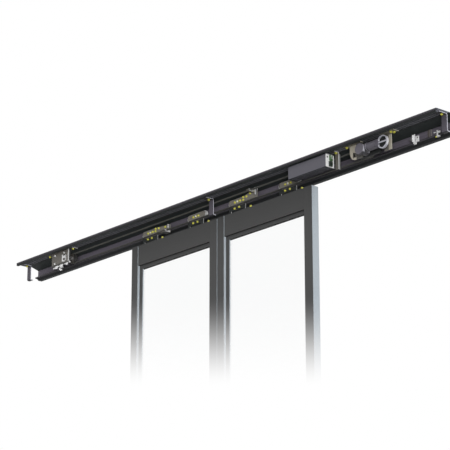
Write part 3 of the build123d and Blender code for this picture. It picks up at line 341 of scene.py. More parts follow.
def makeDustGroup(s):  # grey dust settles on what faces up, in soft patches
    group, start, end = newShaderGroup(
        "dust",
        [
            ("Color", colorSocket, midGrey),
            ("Dust Color", colorSocket, s["color"]),
            ("Amount", floatSocket, 0.3),
            ("Patch Scale", floatSocket, s["patchScale"]),
        ],
        [("Color", colorSocket), ("Mask", floatSocket)],
    )
    place = group.nodes.new("ShaderNodeTexCoord")
    upMask = rampOver(group, splitXyz(group, place, "Normal")["Z"], s["up"]).outputs[0]
    noise = group.nodes.new("ShaderNodeTexNoise")
    noise.inputs["Detail"].default_value = s["detail"]
    linkNodes(group, place, "Object", noise, "Vector")
    linkNodes(group, start, "Patch Scale", noise, "Scale")
    patchy = maths(group, "MULTIPLY", upMask, noise.outputs["Fac"])
    mask = maths(group, "MULTIPLY", patchy, start.outputs["Amount"])
    color = mixColors(group, mask, start.outputs["Color"], start.outputs["Dust Color"])
    group.links.new(color, end.inputs["Color"])
    group.links.new(mask, end.inputs["Mask"])
    return group


def makeZoneGroup():  # recolours one box of the object: most boxes hold painted light or shade, some the part's own tones
    group, start, end = newShaderGroup(
        "zoneColor",
        [
            ("Color", colorSocket, midGrey),
            ("Zone Color", colorSocket, midGrey),
            ("Low", vectorSocket, (0, 0, 0)),
            ("High", vectorSocket, (1, 1, 1)),
            ("Sharpness", floatSocket, zoneSharpness),
        ],
        [("Color", colorSocket)],
    )
    place = group.nodes.new("ShaderNodeTexCoord")
    borders = []
    for first, second in (((place, "Object"), (start, "Low")), ((start, "High"), (place, "Object"))):
        reach = vectorMaths(group, "SUBTRACT")
        linkNodes(group, first[0], first[1], reach, 0)
        linkNodes(group, second[0], second[1], reach, 1)
        steep = vectorMaths(group, "SCALE")
        linkNodes(group, reach, 0, steep, 0)
        linkNodes(group, start, "Sharpness", steep, "Scale")
        inside = splitXyz(group, steep, 0)
        for axis in "XYZ":
            clamp = group.nodes.new("ShaderNodeClamp")
            group.links.new(inside[axis], clamp.inputs["Value"])
            borders.append(clamp.outputs[0])
    mask = borders[0]
    for border in borders[1:]:
        mask = maths(group, "MULTIPLY", mask, border)
    color = mixColors(group, mask, start.outputs["Color"], start.outputs["Zone Color"])
    group.links.new(color, end.inputs["Color"])
    return group


grainGroup = makeGrainGroup(grainSettings)
facingLightGroup = makeFacingLightGroup(facingLightSettings)
zoneGroup = makeZoneGroup()
dustGroup = makeDustGroup(dustSettings)
print("shader groups built")


# Finishes: colours are linear; a zone is a box in mm (low corner, high corner) with its own tone
# End and underside colours are painted light and shade by facing; most zones hold painted light or shade
drawnLines = (1.5, 240, 240)  # grain stretched along the header
brushedUpright = (260, 260, 12)
evenGrain = (320, 320, 320)
castGrain = (500, 500, 500)
paintGrain = (700, 700, 700)
powderGrain = (900, 900, 900)
pastEnds = 3000
commonFinish = {
    "zones": [], "grainScale": evenGrain, "roughnessSpread": 0.12, "dust": 0.25,
    "bump": 0.3, "bumpDepth": 0.1 * mm,
}


def placeGroup(tree, group, values):
    node = tree.nodes.new("ShaderNodeGroup")
    node.node_tree = group
    for label, value in values.items():
        node.inputs[label].default_value = (*value, 1) if label.endswith("Color") else value
    return node


def makeFinish(name, own):
    s = {**commonFinish, **own}
    material = bpy.data.materials.new(name)
    material.use_nodes = True
    tree = material.node_tree
    shader = tree.nodes["Principled BSDF"]
    shader.inputs["Specular IOR Level"].default_value = s["shine"]
    # faces along x take a painted highlight, undersides a painted shade
    last = placeGroup(tree, facingLightGroup, {
        "Color": s["color"],
        "End Lit Color": s.get("endLitColor", s["color"]),
        "Under Lit Color": s.get("underLitColor", s["color"]),
    })
    for low, high, color in s["zones"]:
        patch = placeGroup(tree, zoneGroup, {
            "Zone Color": color,
            "Low": [v * mm for v in low],
            "High": [v * mm for v in high],
        })
        linkNodes(tree, last, "Color", patch, "Color")
        last = patch
    grain = placeGroup(tree, grainGroup, {
        "Fleck Color": s["fleck"],
        "Scale": s["grainScale"],
        "Contrast": s["contrast"],
        "Roughness": s["roughness"],
        "Roughness Spread": s["roughnessSpread"],
    })
    dust = placeGroup(tree, dustGroup, {"Amount": s["dust"]})
    linkNodes(tree, last, "Color", grain, "Color")
    linkNodes(tree, grain, "Color", dust, "Color")
    linkNodes(tree, dust, "Color", shader, "Base Color")
    linkNodes(tree, grain, "Roughness", shader, "Roughness")
    bump = tree.nodes.new("ShaderNodeBump")
    bump.inputs["Strength"].default_value = s["bump"]
    bump.inputs["Distance"].default_value = s["bumpDepth"]
    linkNodes(tree, grain, "Height", bump, "Height")
    linkNodes(tree, bump, "Normal", shader, "Normal")
    return material


def gray(level):
    return level, level, level


def along(y, z, color):  # a zone along the whole header, by its reach in y and z
    return (-pastEnds, y[0], z[0]), (pastEnds, y[1], z[1]), color


darkAluminium = {
    "zones": [
        along((-40, -33.5), (-18, 23), (0.15, 0.135, 0.165)),  # face of the hollow wall, lightened: painted light where the front box shades it
        along((-230, -225), (39, 51), (0.055, 0.050, 0.060)),  # front box's face, upper part, darkened: painted shade
        along((-230, -225), (20, 39), (0.012, 0.014, 0.014)),  # and lower part, near black: painted shadow
        along((-209, -127), (38, 39.6), (0.42, 0.42, 0.46)),  # ribs, far lighter than the ceiling: painted highlight
        along((-209, -142), (39.6, 41.5), (0.12, 0.125, 0.14)),  # ceiling between the ribs, lighter than other undersides: painted light
        along((-46, -33.5), (-38, -17), (0.012, 0.015, 0.015)),  # slope below the ledge, near black: painted shadow
        along((-57.5, -20), (-52, -38.2), (0.004, 0.006, 0.006)),  # rail nose and skirt, near black: painted shade
    ],
    "color": (0.086, 0.078, 0.094), "endLitColor": (0.34, 0.36, 0.42),
    "underLitColor": (0.031, 0.038, 0.036), "fleck": (0.055, 0.052, 0.060),
    "grainScale": drawnLines, "contrast": 0.35, "roughness": 0.58, "shine": 0.12,
}
trackSteel = {
    "color": gray(0.035), "fleck": gray(0.02), "underLitColor": gray(0.02),
    "grainScale": drawnLines, "contrast": 0.4, "roughness": 0.35, "shine": 0.5,
}
strapCoat = {
    "color": (0.100, 0.092, 0.112), "endLitColor": (0.70, 0.70, 0.78),
    "underLitColor": (0.03, 0.03, 0.035), "fleck": (0.075, 0.070, 0.085),
    "grainScale": brushedUpright, "contrast": 0.3, "roughness": 0.5, "shine": 0.2,
}
warmPlate = {
    "zones": [
        along((-74, -62), (-64, 20), (0.24, 0.225, 0.20)),  # carriage plates, lightened: painted light where the front box shades them
        ((-506, -86, -31), (-499, -73, -2), gray(0.20)),  # left belt bracket's lip
        ((383, -86, -15), (390, -73, 35), gray(0.20)),  # right belt bracket's lip
        ((1180, -139, -72), (1210.5, -137, 36), (0.13, 0.122, 0.118)),  # control bracket: face, edge with a narrow painted highlight, return in painted shade
        ((1210.5, -139, -72), (1213, -131, 36), gray(0.38)),
        ((1180, -131, -72), (1225, -120, 36), gray(0.10)),
        ((-1720, -187, -65), (-1510, -176, -52), (0.035, 0.034, 0.032)),  # idler bracket: lower edge and tab, near black: painted shade
        ((-1525, -176, -70), (-1510, -150, 41), gray(0.03)),
    ],
    "color": (0.135, 0.125, 0.110), "endLitColor": gray(0.80),
    "underLitColor": gray(0.03), "fleck": (0.10, 0.095, 0.085),
    "contrast": 0.35, "roughness": 0.45, "shine": 0.3,
}
brightZinc = {
    "zones": [
        ((1733, -70, -21), (1753.8, -46, 11), gray(0.03)),  # rubber buffers of the end stops
        ((-1783.8, -70, -21), (-1765, -46, 11), gray(0.03)),
        ((-1580, -187, -30), (-1540, -90, 0), (0.09, 0.085, 0.08)),  # idler axle
        ((-1550, -190, -48), (-1530, -186.2, 4), gray(0.42)),  # right edge of the idler's slot
    ],
    "color": gray(0.80), "endLitColor": gray(0.95),
    "underLitColor": (0.35, 0.35, 0.36), "fleck": (0.68, 0.68, 0.70),
    "contrast": 0.3, "roughness": 0.38, "shine": 0.5,
}
hangerCoat = {
    "color": (0.030, 0.033, 0.033), "endLitColor": gray(0.45),
    "underLitColor": (0.02, 0.024, 0.024), "fleck": (0.022, 0.024, 0.024),
    "contrast": 0.3, "roughness": 0.55, "shine": 0.2,
}
yellowZinc = {
    "color": (0.80, 0.76, 0.10), "endLitColor": (0.80, 0.77, 0.16),
    "underLitColor": (0.60, 0.57, 0.09), "fleck": (0.50, 0.46, 0.05),
    "contrast": 0.5, "roughness": 0.4, "shine": 0.5,
}
beltRubber = {
    "zones": [((-1600, -118, -54), (1500, -95, -45), (0.07, 0.07, 0.065))],  # lower run
    "color": (0.12, 0.12, 0.11), "underLitColor": (0.19, 0.19, 0.175), "fleck": (0.08, 0.08, 0.075),
    "contrast": 0.5, "roughness": 0.75, "shine": 0.2,
}
pulleyAlloy = {
    "zones": [((-1542, -130, -60), (-1515, -90, 30), gray(0.03))],  # right side of the idler pulley, near black: painted shade
    "color": (0.085, 0.080, 0.070), "endLitColor": (0.08, 0.077, 0.072), "fleck": (0.06, 0.056, 0.052),
    "contrast": 0.4, "roughness": 0.4, "shine": 0.5,
}
motorCoat = {
    "zones": [((1500, -200, -50), (1573, -130, 40), (0.115, 0.108, 0.130))],  # motor body, its end too
    "color": (0.115, 0.108, 0.130), "endLitColor": (0.62, 0.62, 0.68),
    "underLitColor": (0.03, 0.03, 0.035), "fleck": (0.09, 0.085, 0.10),
    "contrast": 0.3, "roughness": 0.42, "shine": 0.3,
}
gearboxBlack = {
    "color": (0.018, 0.020, 0.020), "fleck": gray(0.03),
    "grainScale": castGrain, "contrast": 0.5, "roughness": 0.6, "shine": 0.15, "bump": 0.6,
}
cageWhite = {
    "zones": [((1569, -175, -32), (1580, -150, 14), (0.115, 0.108, 0.130))],  # neck on the motor body
    "color": (0.50, 0.50, 0.56), "endLitColor": (0.88, 0.88, 0.92), "fleck": (0.44, 0.44, 0.50),
    "contrast": 0.2, "roughness": 0.45, "shine": 0.4,
}
bracketBeige = {
    "zones": [
        ((1386, -166, -62), (1442, -155, 36), gray(0.03)),  # front bracket's plate, in two parts, near black: painted shadow round the gear drum
        ((1356, -166, -46), (1386, -155, -16), (0.05, 0.047, 0.04)),
        ((1590, -141, -62), (1636, -133, 36), (0.10, 0.095, 0.09)),  # rear bracket's plate
        ((1290, -186, 34), (1442, -182, 41), gray(0.03)),  # front edges of their flanges
        ((1590, -186, 34), (1690, -182, 41), gray(0.03)),
    ],
    "color": (0.42, 0.39, 0.32), "endLitColor": (0.60, 0.57, 0.48),
    "underLitColor": (0.16, 0.15, 0.12), "fleck": (0.36, 0.33, 0.27),
    "contrast": 0.25, "roughness": 0.5, "shine": 0.3,
}
controlCoat = {
    "color": (0.115, 0.112, 0.130), "endLitColor": (0.2, 0.2, 0.22),
    "underLitColor": (0.022, 0.025, 0.026), "fleck": (0.095, 0.092, 0.11),
    "grainScale": paintGrain, "contrast": 0.35, "roughness": 0.6, "shine": 0.15, "bump": 0.5,
}
panelWhite = {
    "color": gray(0.8), "endLitColor": gray(0.88), "fleck": gray(0.74),
    "contrast": 0.25, "roughness": 0.5, "shine": 0.4,
}
terminalGreen = {
    "zones": [((1170, -195, -58), (1192, -160, -19), (0.02, 0.022, 0.022))],  # lower, black connector
    "color": (0.07, 0.15, 0.06), "endLitColor": (0.09, 0.18, 0.075), "fleck": (0.05, 0.11, 0.05),
    "contrast": 0.3, "roughness": 0.4, "shine": 0.4,
}
terminalBrown = {
    "zones": [((1850, -60, -34), (1910, -30, -23), (0.10, 0.012, 0.010))],  # red foot
    "color": (0.15, 0.13, 0.12), "endLitColor": (0.22, 0.21, 0.20),
    "underLitColor": (0.12, 0.02, 0.015), "fleck": (0.11, 0.10, 0.09),
    "contrast": 0.3, "roughness": 0.45, "shine": 0.3,
}
wheelNylon = {
    "color": gray(0.55), "endLitColor": gray(0.8), "underLitColor": gray(0.2), "fleck": gray(0.48),
    "contrast": 0.3, "roughness": 0.45, "shine": 0.4,
}
frameCoat = {
    "color": gray(0.068), "endLitColor": (0.58, 0.645, 0.70), "underLitColor": gray(0.03), "fleck": gray(0.052),
    "grainScale": powderGrain, "contrast": 0.4, "roughness": 0.5, "shine": 0.15,
}
sealRubber = {
    "color": gray(0.02), "endLitColor": gray(0.03), "fleck": gray(0.012),
    "contrast": 0.5, "roughness": 0.8, "shine": 0.2,
}
paneSettings = {
    "color": (0.95, 0.955, 0.955), "ior": 1.45,
    "smudgeScale": (3, 3, 2), "roughness": 0.02, "roughnessSpread": 0.03,
}


def makePane(s):
    material = bpy.data.materials.new("clearPane")
    material.use_nodes = True
    tree = material.node_tree
    shader = tree.nodes["Principled BSDF"]
    shader.inputs["Transmission Weight"].default_value = 1
    shader.inputs["IOR"].default_value = s["ior"]
    smudge = placeGroup(tree, grainGroup, {
        "Color": s["color"], "Fleck Color": s["color"], "Scale": s["smudgeScale"],
        "Contrast": 0.0, "Roughness": s["roughness"], "Roughness Spread": s["roughnessSpread"],
    })
    linkNodes(tree, smudge, "Color", shader, "Base Color")
    linkNodes(tree, smudge, "Roughness", shader, "Roughness")
    return material


finishes = {
    "dark_aluminium": makeFinish("darkAluminium", darkAluminium),
    "track_steel": makeFinish("trackSteel", trackSteel),
    "strap_zinc": makeFinish("strapCoat", strapCoat),
    "bracket_zinc": makeFinish("warmPlate", warmPlate),
    "bright_zinc": makeFinish("brightZinc", brightZinc),
    "hanger_dark": makeFinish("hangerCoat", hangerCoat),
    "yellow_zinc": makeFinish("yellowZinc", yellowZinc),
    "belt_rubber": makeFinish("beltRubber", beltRubber),
    "pulley_alloy": makeFinish("pulleyAlloy", pulleyAlloy),
    "motor_grey": makeFinish("motorCoat", motorCoat),
    "gearbox_black": makeFinish("gearboxBlack", gearboxBlack),
    "cage_white": makeFinish("cageWhite", cageWhite),
    "bracket_beige": makeFinish("bracketBeige", bracketBeige),
    "control_grey": makeFinish("controlCoat", controlCoat),
    "panel_white": makeFinish("panelWhite", panelWhite),
    "terminal_green": makeFinish("terminalGreen", terminalGreen),
    "terminal_brown": makeFinish("terminalBrown", terminalBrown),
    "wheel_nylon": makeFinish("wheelNylon", wheelNylon),
    "frame_grey": makeFinish("frameCoat", frameCoat),
    "pane": makePane(paneSettings),
    "seal_rubber": makeFinish("sealRubber", sealRubber),
}

# What the photograph shows otherwise than the record's slot says
ownFinish = {"hangers": "hanger_dark", "belt_bracket": "bracket_zinc", "axle_studs": "bracket_zinc"}
for name, node in nodes.items():
    word = name.split("_", 1)[-1]
    node.data.materials.clear()
    node.data.materials.append(finishes[ownFinish.get(word, slotOf[name])])
print("finishes on", len(nodes), "nodes")


# Pieces: what every new one needs, and Geometry Nodes parts shared by the repeated ones
def addPiece(name, mesh, slot, body):
    piece = bpy.data.objects.new(name, mesh)
    scene.collection.objects.link(piece)
    if not mesh.materials:
        mesh.materials.append(finishes[slot])
    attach(piece, body)
    return piece


def pieceFrom(builder, name, slot, body):
    mesh = bpy.data.meshes.new(name)
    builder.to_mesh(mesh)
    builder.free()
    return addPiece(name, mesh, slot, body)


def newTree(name, inputs):
    tree = bpy.data.node_groups.new(name, "GeometryNodeTree")
    tree.is_modifier = True
    tree.interface.new_socket("Geometry", in_out="INPUT", socket_type="NodeSocketGeometry")
    for label, kind, value in inputs:
        socket = tree.interface.new_socket(label, in_out="INPUT", socket_type=kind)
        if value is not None:
            socket.default_value = value
    tree.interface.new_socket("Finish", in_out="INPUT", socket_type="NodeSocketMaterial")
    tree.interface.new_socket("Geometry", in_out="OUTPUT", socket_type="NodeSocketGeometry")
    return tree, tree.nodes.new("NodeGroupInput"), tree.nodes.new("NodeGroupOutput")


def movedBy(tree, geometry, shift):
    node = tree.nodes.new("GeometryNodeTransform")
    tree.links.new(geometry, node.inputs["Geometry"])
    tree.links.new(shift, node.inputs["Translation"])
    return node.outputs["Geometry"]


def pointRow(tree, count, step):
    row = tree.nodes.new("GeometryNodeMeshLine")
    tree.links.new(count, row.inputs["Count"])
    tree.links.new(step, row.inputs["Offset"])
    return row.outputs["Mesh"]


def blockOf(tree, size):
    node = tree.nodes.new("GeometryNodeMeshCube")
    tree.links.new(size, node.inputs["Size"])
    return node.outputs["Mesh"]


def copiesOn(tree, points, shape):
    copies = tree.nodes.new("GeometryNodeInstanceOnPoints")
    tree.links.new(points, copies.inputs["Points"])
    tree.links.new(shape, copies.inputs["Instance"])
    return copies


def finishTree(tree, start, end, shape, turn=None):
    copies = copiesOn(tree, start.outputs["Geometry"], shape)
    if turn is not None:
        tree.links.new(turn, copies.inputs["Rotation"])
    whole = tree.nodes.new("GeometryNodeRealizeInstances")
    linkNodes(tree, copies, "Instances", whole, "Geometry")
    coat = tree.nodes.new("GeometryNodeSetMaterial")
    linkNodes(tree, whole, "Geometry", coat, "Geometry")
    linkNodes(tree, start, "Finish", coat, "Material")
    linkNodes(tree, coat, "Geometry", end, "Geometry")


def growPiece(name, spots, tree, values, slot, body):
    seed = bpy.data.meshes.new(name + "Seed")
    seed.from_pydata([tuple(spot) for spot in spots], [], [])
    holder = bpy.data.objects.new(name + "Seed", seed)
    scene.collection.objects.link(holder)
    modifier = holder.modifiers.new("grow", "NODES")
    modifier.node_group = tree
    ids = {item.name: item.identifier for item in tree.interface.items_tree if item.in_out == "INPUT"}
    for label, value in values.items():
        modifier[ids[label]] = value
    modifier[ids["Finish"]] = finishes[slot]
    bpy.context.view_layer.update()
    grown = bpy.data.meshes.new_from_object(holder.evaluated_get(bpy.context.evaluated_depsgraph_get()))
    holder.modifiers.clear()
    bpy.data.objects.remove(holder)
    return addPiece(name, grown, slot, body)


def islandBoxes(nodeName):  # box of each separate solid in a CAD node
    builder = bmesh.new()
    builder.from_mesh(nodes[nodeName].data)
    bmesh.ops.remove_doubles(builder, verts=builder.verts, dist=1e-5)
    left = set(builder.verts)
    boxes = []
    while left:
        island, front = set(), [left.pop()]
        while front:
            vert = front.pop()
            island.add(vert)
            for edge in vert.link_edges:
                other = edge.other_vert(vert)
                if other in left:
                    left.remove(other)
                    front.append(other)
        points = [vert.co for vert in island]
        lowest = Vector([min(p[i] for p in points) for i in range(3)])
        highest = Vector([max(p[i] for p in points) for i in range(3)])
        boxes.append((lowest, highest))
    builder.free()
    return sorted(boxes, key=lambda box: (box[0].x, box[0].z))


def addBlocks(name, boxes, slot, body, rounding=0.4):  # bevelled blocks given by their corners in mm
    builder = bmesh.new()
    for lowest, highest in boxes:
        made = bmesh.ops.create_cube(builder, size=1)["verts"]
        size = [(highest[i] - lowest[i]) * mm for i in range(3)]
        middle = [(highest[i] + lowest[i]) / 2 * mm for i in range(3)]
        bmesh.ops.scale(builder, verts=made, vec=size)
        bmesh.ops.translate(builder, verts=made, vec=middle)
    bmesh.ops.bevel(builder, geom=builder.edges[:], offset=rounding * mm, segments=2, affect="EDGES")
    return pieceFrom(builder, name, slot, body)


def joinRings(builder, first, second):
    for place in range(len(first)):
        after = (place + 1) % len(first)
        builder.faces.new((first[place], first[after], second[after], second[place]))


def closedPrism(builder, rings):
    for ring in rings:
        builder.faces.new(ring)
    joinRings(builder, *rings)


# Header's hollow wall, gusset and skirt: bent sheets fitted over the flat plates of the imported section.
# The shifts lead from an outer corner to the inner one, in thicknesses of the sheet.
wallSettings = {
    "front": -34, "ledge": -16, "gussetDrop": 26, "plate": 3.4, "plateEnd": -108, "sheet": 3,
    "valley": (-45, -34), "nose": -38.5, "lip": -44, "skirt": -29, "back": -3.9,
    "valleyShift": (0.7, -0.5), "ledgeShift": (1, -0.4), "skirtShift": (0.4, 1), "lipShift": (1.2, 0.3),
}


def addHollowWall(s):
    lowest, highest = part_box("header_extrusion")
    top, bottom, sheet = highest.z / mm, lowest.z / mm, s["sheet"]
    plateEnd = (s["plateEnd"], top - s["plate"])
    corner = (s["front"], top - s["gussetDrop"])
    ledge = (s["front"], s["ledge"])
    lip = (s["lip"], s["nose"])
    skirt = (s["skirt"], bottom)
    back = (s["back"], bottom)
    slope = (plateEnd[1] - corner[1]) / (corner[0] - plateEnd[0])

    def inward(point, shift):
        return point[0] + sheet * shift[0], point[1] + sheet * shift[1]

    wallOutline = [
        plateEnd, corner, ledge, s["valley"],
        inward(s["valley"], s["valleyShift"]), inward(ledge, s["ledgeShift"]),
        inward(corner, (1, 1 - slope)), inward(plateEnd, (1 / slope, 0)),
    ]
    skirtOutline = [
        lip, skirt, back,
        inward(back, (0, 1)), inward(skirt, s["skirtShift"]), inward(lip, s["lipShift"]),
    ]
    builder = bmesh.new()
    for outline in (wallOutline, skirtOutline):
        closedPrism(builder, [
            [builder.verts.new((x, y * mm, z * mm)) for y, z in outline] for x in (lowest.x, highest.x)
        ])
    bmesh.ops.recalc_face_normals(builder, faces=builder.faces)
    pieceFrom(builder, "hollowWall", "dark_aluminium", "header")


addHollowWall(wallSettings)
print("hollow wall fitted")


# Screw caps: the turned chamfer, recess and centre on the face of each hex head
capSettings = {
    "share": 0.84, "slope": 0.72, "height": 1.1 * mm, "sides": 20, "sunk": 0.05 * mm,
    "recess": 0.34, "recessSlope": 0.6, "recessHeight": 0.6, "recessLift": 1.28,
}
capWays = {  # axis of the capped face, which end of the box it is, and the turn that faces it
    "down": (2, 0, (math.pi, 0, 0)),
    "front": (1, 0, (math.pi / 2, 0, 0)),
    "up": (2, 1, (0, 0, 0)),
}
screwSettings = {
    "flangeHead": 7.5 * mm,
    "idlerHead": 6.5 * mm,
    "boltHead": 7.5 * mm,
    "middleHead": 8.5 * mm,
    "studHead": 6.0 * mm,
    "uprightBy": 4 * mm,
    "middleWithin": 2 * mm,
}


def makeCapTree(s):
    tree, start, end = newTree("screwCaps", [
        ("Radius", floatSocket, 6 * mm),
        ("Turn", "NodeSocketRotation", None),
    ])
    base = maths(tree, "MULTIPLY", start.outputs["Radius"], s["share"])
    top = maths(tree, "MULTIPLY", start.outputs["Radius"], s["slope"])
    pit = maths(tree, "MULTIPLY", start.outputs["Radius"], s["recess"])
    pitTop = maths(tree, "MULTIPLY", pit, s["recessSlope"])
    height = s["height"]
    both = tree.nodes.new("GeometryNodeJoinGeometry")
    for low, high, depth, lift in (
        (base, top, height, height / 2 - s["sunk"]),
        (pit, pitTop, height * s["recessHeight"], height * s["recessLift"]),
    ):
        cone = tree.nodes.new("GeometryNodeMeshCone")
        cone.inputs["Vertices"].default_value = s["sides"]
        cone.inputs["Depth"].default_value = depth
        tree.links.new(high, cone.inputs["Radius Top"])
        tree.links.new(low, cone.inputs["Radius Bottom"])
        tree.links.new(movedBy(tree, cone.outputs["Mesh"], joinXyz(tree, z=lift)), both.inputs[0])
    finishTree(tree, start, end, both.outputs[0], start.outputs["Turn"])
    return tree


capTree = makeCapTree(capSettings)


def growCaps(name, boxes, way, radius, slot, body):
    axis, end, turn = capWays[way]
    spots = []
    for box in boxes:
        spot = (box[0] + box[1]) / 2
        spot[axis] = box[end][axis]
        spots.append(spot)
    growPiece(name, spots, capTree, {"Radius": radius, "Turn": turn}, slot, body)


def growHeaderCaps(s):
    flangeScrews = islandBoxes("flange_screws")
    growCaps("flangeScrewCaps", flangeScrews, "down", s["flangeHead"], "yellow_zinc", "header")
    idlerScrews = islandBoxes("idler_screws")
    growCaps("idlerScrewCaps", idlerScrews, "front", s["idlerHead"], "bright_zinc", "header")


def growLeafCaps(side, s):
    leaf = side + "_leaf"
    bolts = islandBoxes(side + "_carriage_bolts")
    plates = [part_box(side + "_" + which + "_carriage") for which in ("inner", "outer")]
    centres = [(plate[0].x + plate[1].x) / 2 for plate in plates]
    upright, middle, level = [], [], []
    for box in bolts:
        offCentre = min(abs((box[0].x + box[1].x) / 2 - x) for x in centres)
        if box[1].z - box[0].z > box[1].x - box[0].x + s["uprightBy"]:
            upright.append(box)
        if offCentre < s["middleWithin"]:
            middle.append(box)
        if box not in upright and box not in middle:
            level.append(box)
    growCaps(side + "BoltCaps", level, "front", s["boltHead"], "yellow_zinc", leaf)
    growCaps(side + "MiddleCaps", middle, "front", s["middleHead"], "bright_zinc", leaf)
    growCaps(side + "FootBoltCaps", upright, "up", s["boltHead"], "yellow_zinc", leaf)
    studs = islandBoxes(side + "_axle_studs")
    growCaps(side + "StudCaps", studs, "front", s["studHead"], "bracket_zinc", leaf)


growHeaderCaps(screwSettings)
for side in ("left", "right"):
    growLeafCaps(side, screwSettings)
print("screw caps grown")


# Belt teeth on the two straight runs, inside the loop
toothSettings = {
    "pitch": 7.854 * mm, "width": 3.6 * mm, "depth": 2.0 * mm, "tip": 0.62, "clear": 3 * mm, "belt": 3 * mm,
}


def makeToothTree(s):
    tree, start, end = newTree("beltTeeth", [
        ("Count", "NodeSocketInt", 10),
        ("Pitch", floatSocket, s["pitch"]),
        ("Tooth Width", floatSocket, s["width"]),
        ("Tooth Depth", floatSocket, s["depth"]),
        ("Belt Width", floatSocket, 15 * mm),
        ("Turn", "NodeSocketRotation", None),
    ])
    width, across, depth = [start.outputs[word] for word in ("Tooth Width", "Belt Width", "Tooth Depth")]
    row = pointRow(tree, start.outputs["Count"], joinXyz(tree, x=start.outputs["Pitch"]))
    tooth = blockOf(tree, joinXyz(tree, width, across, depth))
    lifted = movedBy(tree, tooth, joinXyz(tree, z=maths(tree, "MULTIPLY", depth, 0.5)))
    spot = splitXyz(tree, tree.nodes.new("GeometryNodeInputPosition"), "Position")
    high = maths(tree, "GREATER_THAN", spot["Z"], s["depth"] / 2)
    shrink = maths(tree, "MULTIPLY_ADD", high, s["tip"] - 1, 1)
    narrow = tree.nodes.new("GeometryNodeSetPosition")
    tree.links.new(lifted, narrow.inputs["Geometry"])
    newX = maths(tree, "MULTIPLY", spot["X"], shrink)
    tree.links.new(joinXyz(tree, newX, spot["Y"], spot["Z"]), narrow.inputs["Position"])
    teeth = copiesOn(tree, row, narrow.outputs["Geometry"])
    linkNodes(tree, start, "Turn", teeth, "Rotation")
    finishTree(tree, start, end, teeth.outputs["Instances"])
    return tree


def layTeeth(s):
    lowest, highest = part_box("drive_belt")
    radius = (highest.z - lowest.z) / 2
    x0 = lowest.x + radius + s["clear"]
    x1 = highest.x - radius - s["clear"]
    middleY = (lowest.y + highest.y) / 2
    count = int((x1 - x0) / s["pitch"]) + 1
    tree = makeToothTree(s)
    runs = {
        "upper": (highest.z - s["belt"], (math.pi, 0, 0)),
        "lower": (lowest.z + s["belt"], (0, 0, 0)),
    }
    for word, (z, turn) in runs.items():
        values = {"Count": count, "Belt Width": highest.y - lowest.y, "Turn": turn}
        growPiece(word + "BeltTeeth", [(x0, middleY, z)], tree, values, "belt_rubber", "header")


layTeeth(toothSettings)
print("belt teeth laid")


# Ribs lengthwise under the front box
ribSettings = {
    "count": 3, "pitch": 21 * mm, "width": 7 * mm, "height": 0.8 * mm, "last": 80 * mm,
    "ends": 0.5 * mm, "sunk": 0.1 * mm,
}


def makeRibTree(s):
    tree, start, end = newTree("boxRibs", [
        ("Count", "NodeSocketInt", s["count"]),
        ("Pitch", floatSocket, s["pitch"]),
        ("Width", floatSocket, s["width"]),
        ("Height", floatSocket, s["height"]),
        ("Length", floatSocket, 1.0),
    ])
    row = pointRow(tree, start.outputs["Count"], joinXyz(tree, y=start.outputs["Pitch"]))
    size = joinXyz(tree, *[start.outputs[word] for word in ("Length", "Width", "Height")])
    bars = copiesOn(tree, row, blockOf(tree, size))
    finishTree(tree, start, end, bars.outputs["Instances"])
    return tree


def layRibs(s):
    lowest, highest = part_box("header_extrusion")
    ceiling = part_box("motor_front_bracket")[1].z
    first = lowest.y + s["last"] - (s["count"] - 1) * s["pitch"]
    middle = (lowest.x + highest.x) / 2
    values = {"Length": highest.x - lowest.x - 2 * s["ends"]}
    spot = (middle, first, ceiling - s["height"] / 2 + s["sunk"])
    growPiece("frontBoxRibs", [spot], makeRibTree(s), values, "dark_aluminium", "header")


layRibs(ribSettings)
print("ribs laid")


# Coil behind the bar of the motor's ring: a dark disc with upright fins cut to the circle
coilSettings = {
    "radius": 33 * mm, "seat": 10 * mm, "fins": 11, "pitch": 5.2 * mm, "finWidth": 1.6 * mm,
    "finDepth": 4 * mm, "disc": 0.6 * mm, "segments": 48,
}


def makeCoilTree(s):
    tree, start, end = newTree("coilFins", [
        ("Fins", "NodeSocketInt", s["fins"]),
        ("Pitch", floatSocket, s["pitch"]),
        ("Radius", floatSocket, s["radius"]),
        ("Fin Width", floatSocket, s["finWidth"]),
        ("Fin Depth", floatSocket, s["finDepth"]),
    ])
    count, pitch, radius = [start.outputs[word] for word in ("Fins", "Pitch", "Radius")]
    row = pointRow(tree, count, joinXyz(tree, x=pitch))
    span = maths(tree, "MULTIPLY", maths(tree, "SUBTRACT", count, 1), pitch)
    centred = movedBy(tree, row, joinXyz(tree, x=maths(tree, "MULTIPLY", span, -0.5)))
    spot = splitXyz(tree, tree.nodes.new("GeometryNodeInputPosition"), "Position")
    across = maths(tree, "MULTIPLY", spot["X"], spot["X"])
    reach = maths(tree, "SUBTRACT", maths(tree, "MULTIPLY", radius, radius), across)
    tall = maths(tree, "MULTIPLY", maths(tree, "SQRT", maths(tree, "MAXIMUM", reach, 0.0)), 2)
    fin = blockOf(tree, joinXyz(tree, start.outputs["Fin Width"], start.outputs["Fin Depth"], 1.0))
    fins = copiesOn(tree, centred, fin)
    tree.links.new(joinXyz(tree, 1.0, 1.0, tall), fins.inputs["Scale"])
    finishTree(tree, start, end, fins.outputs["Instances"])
    return tree


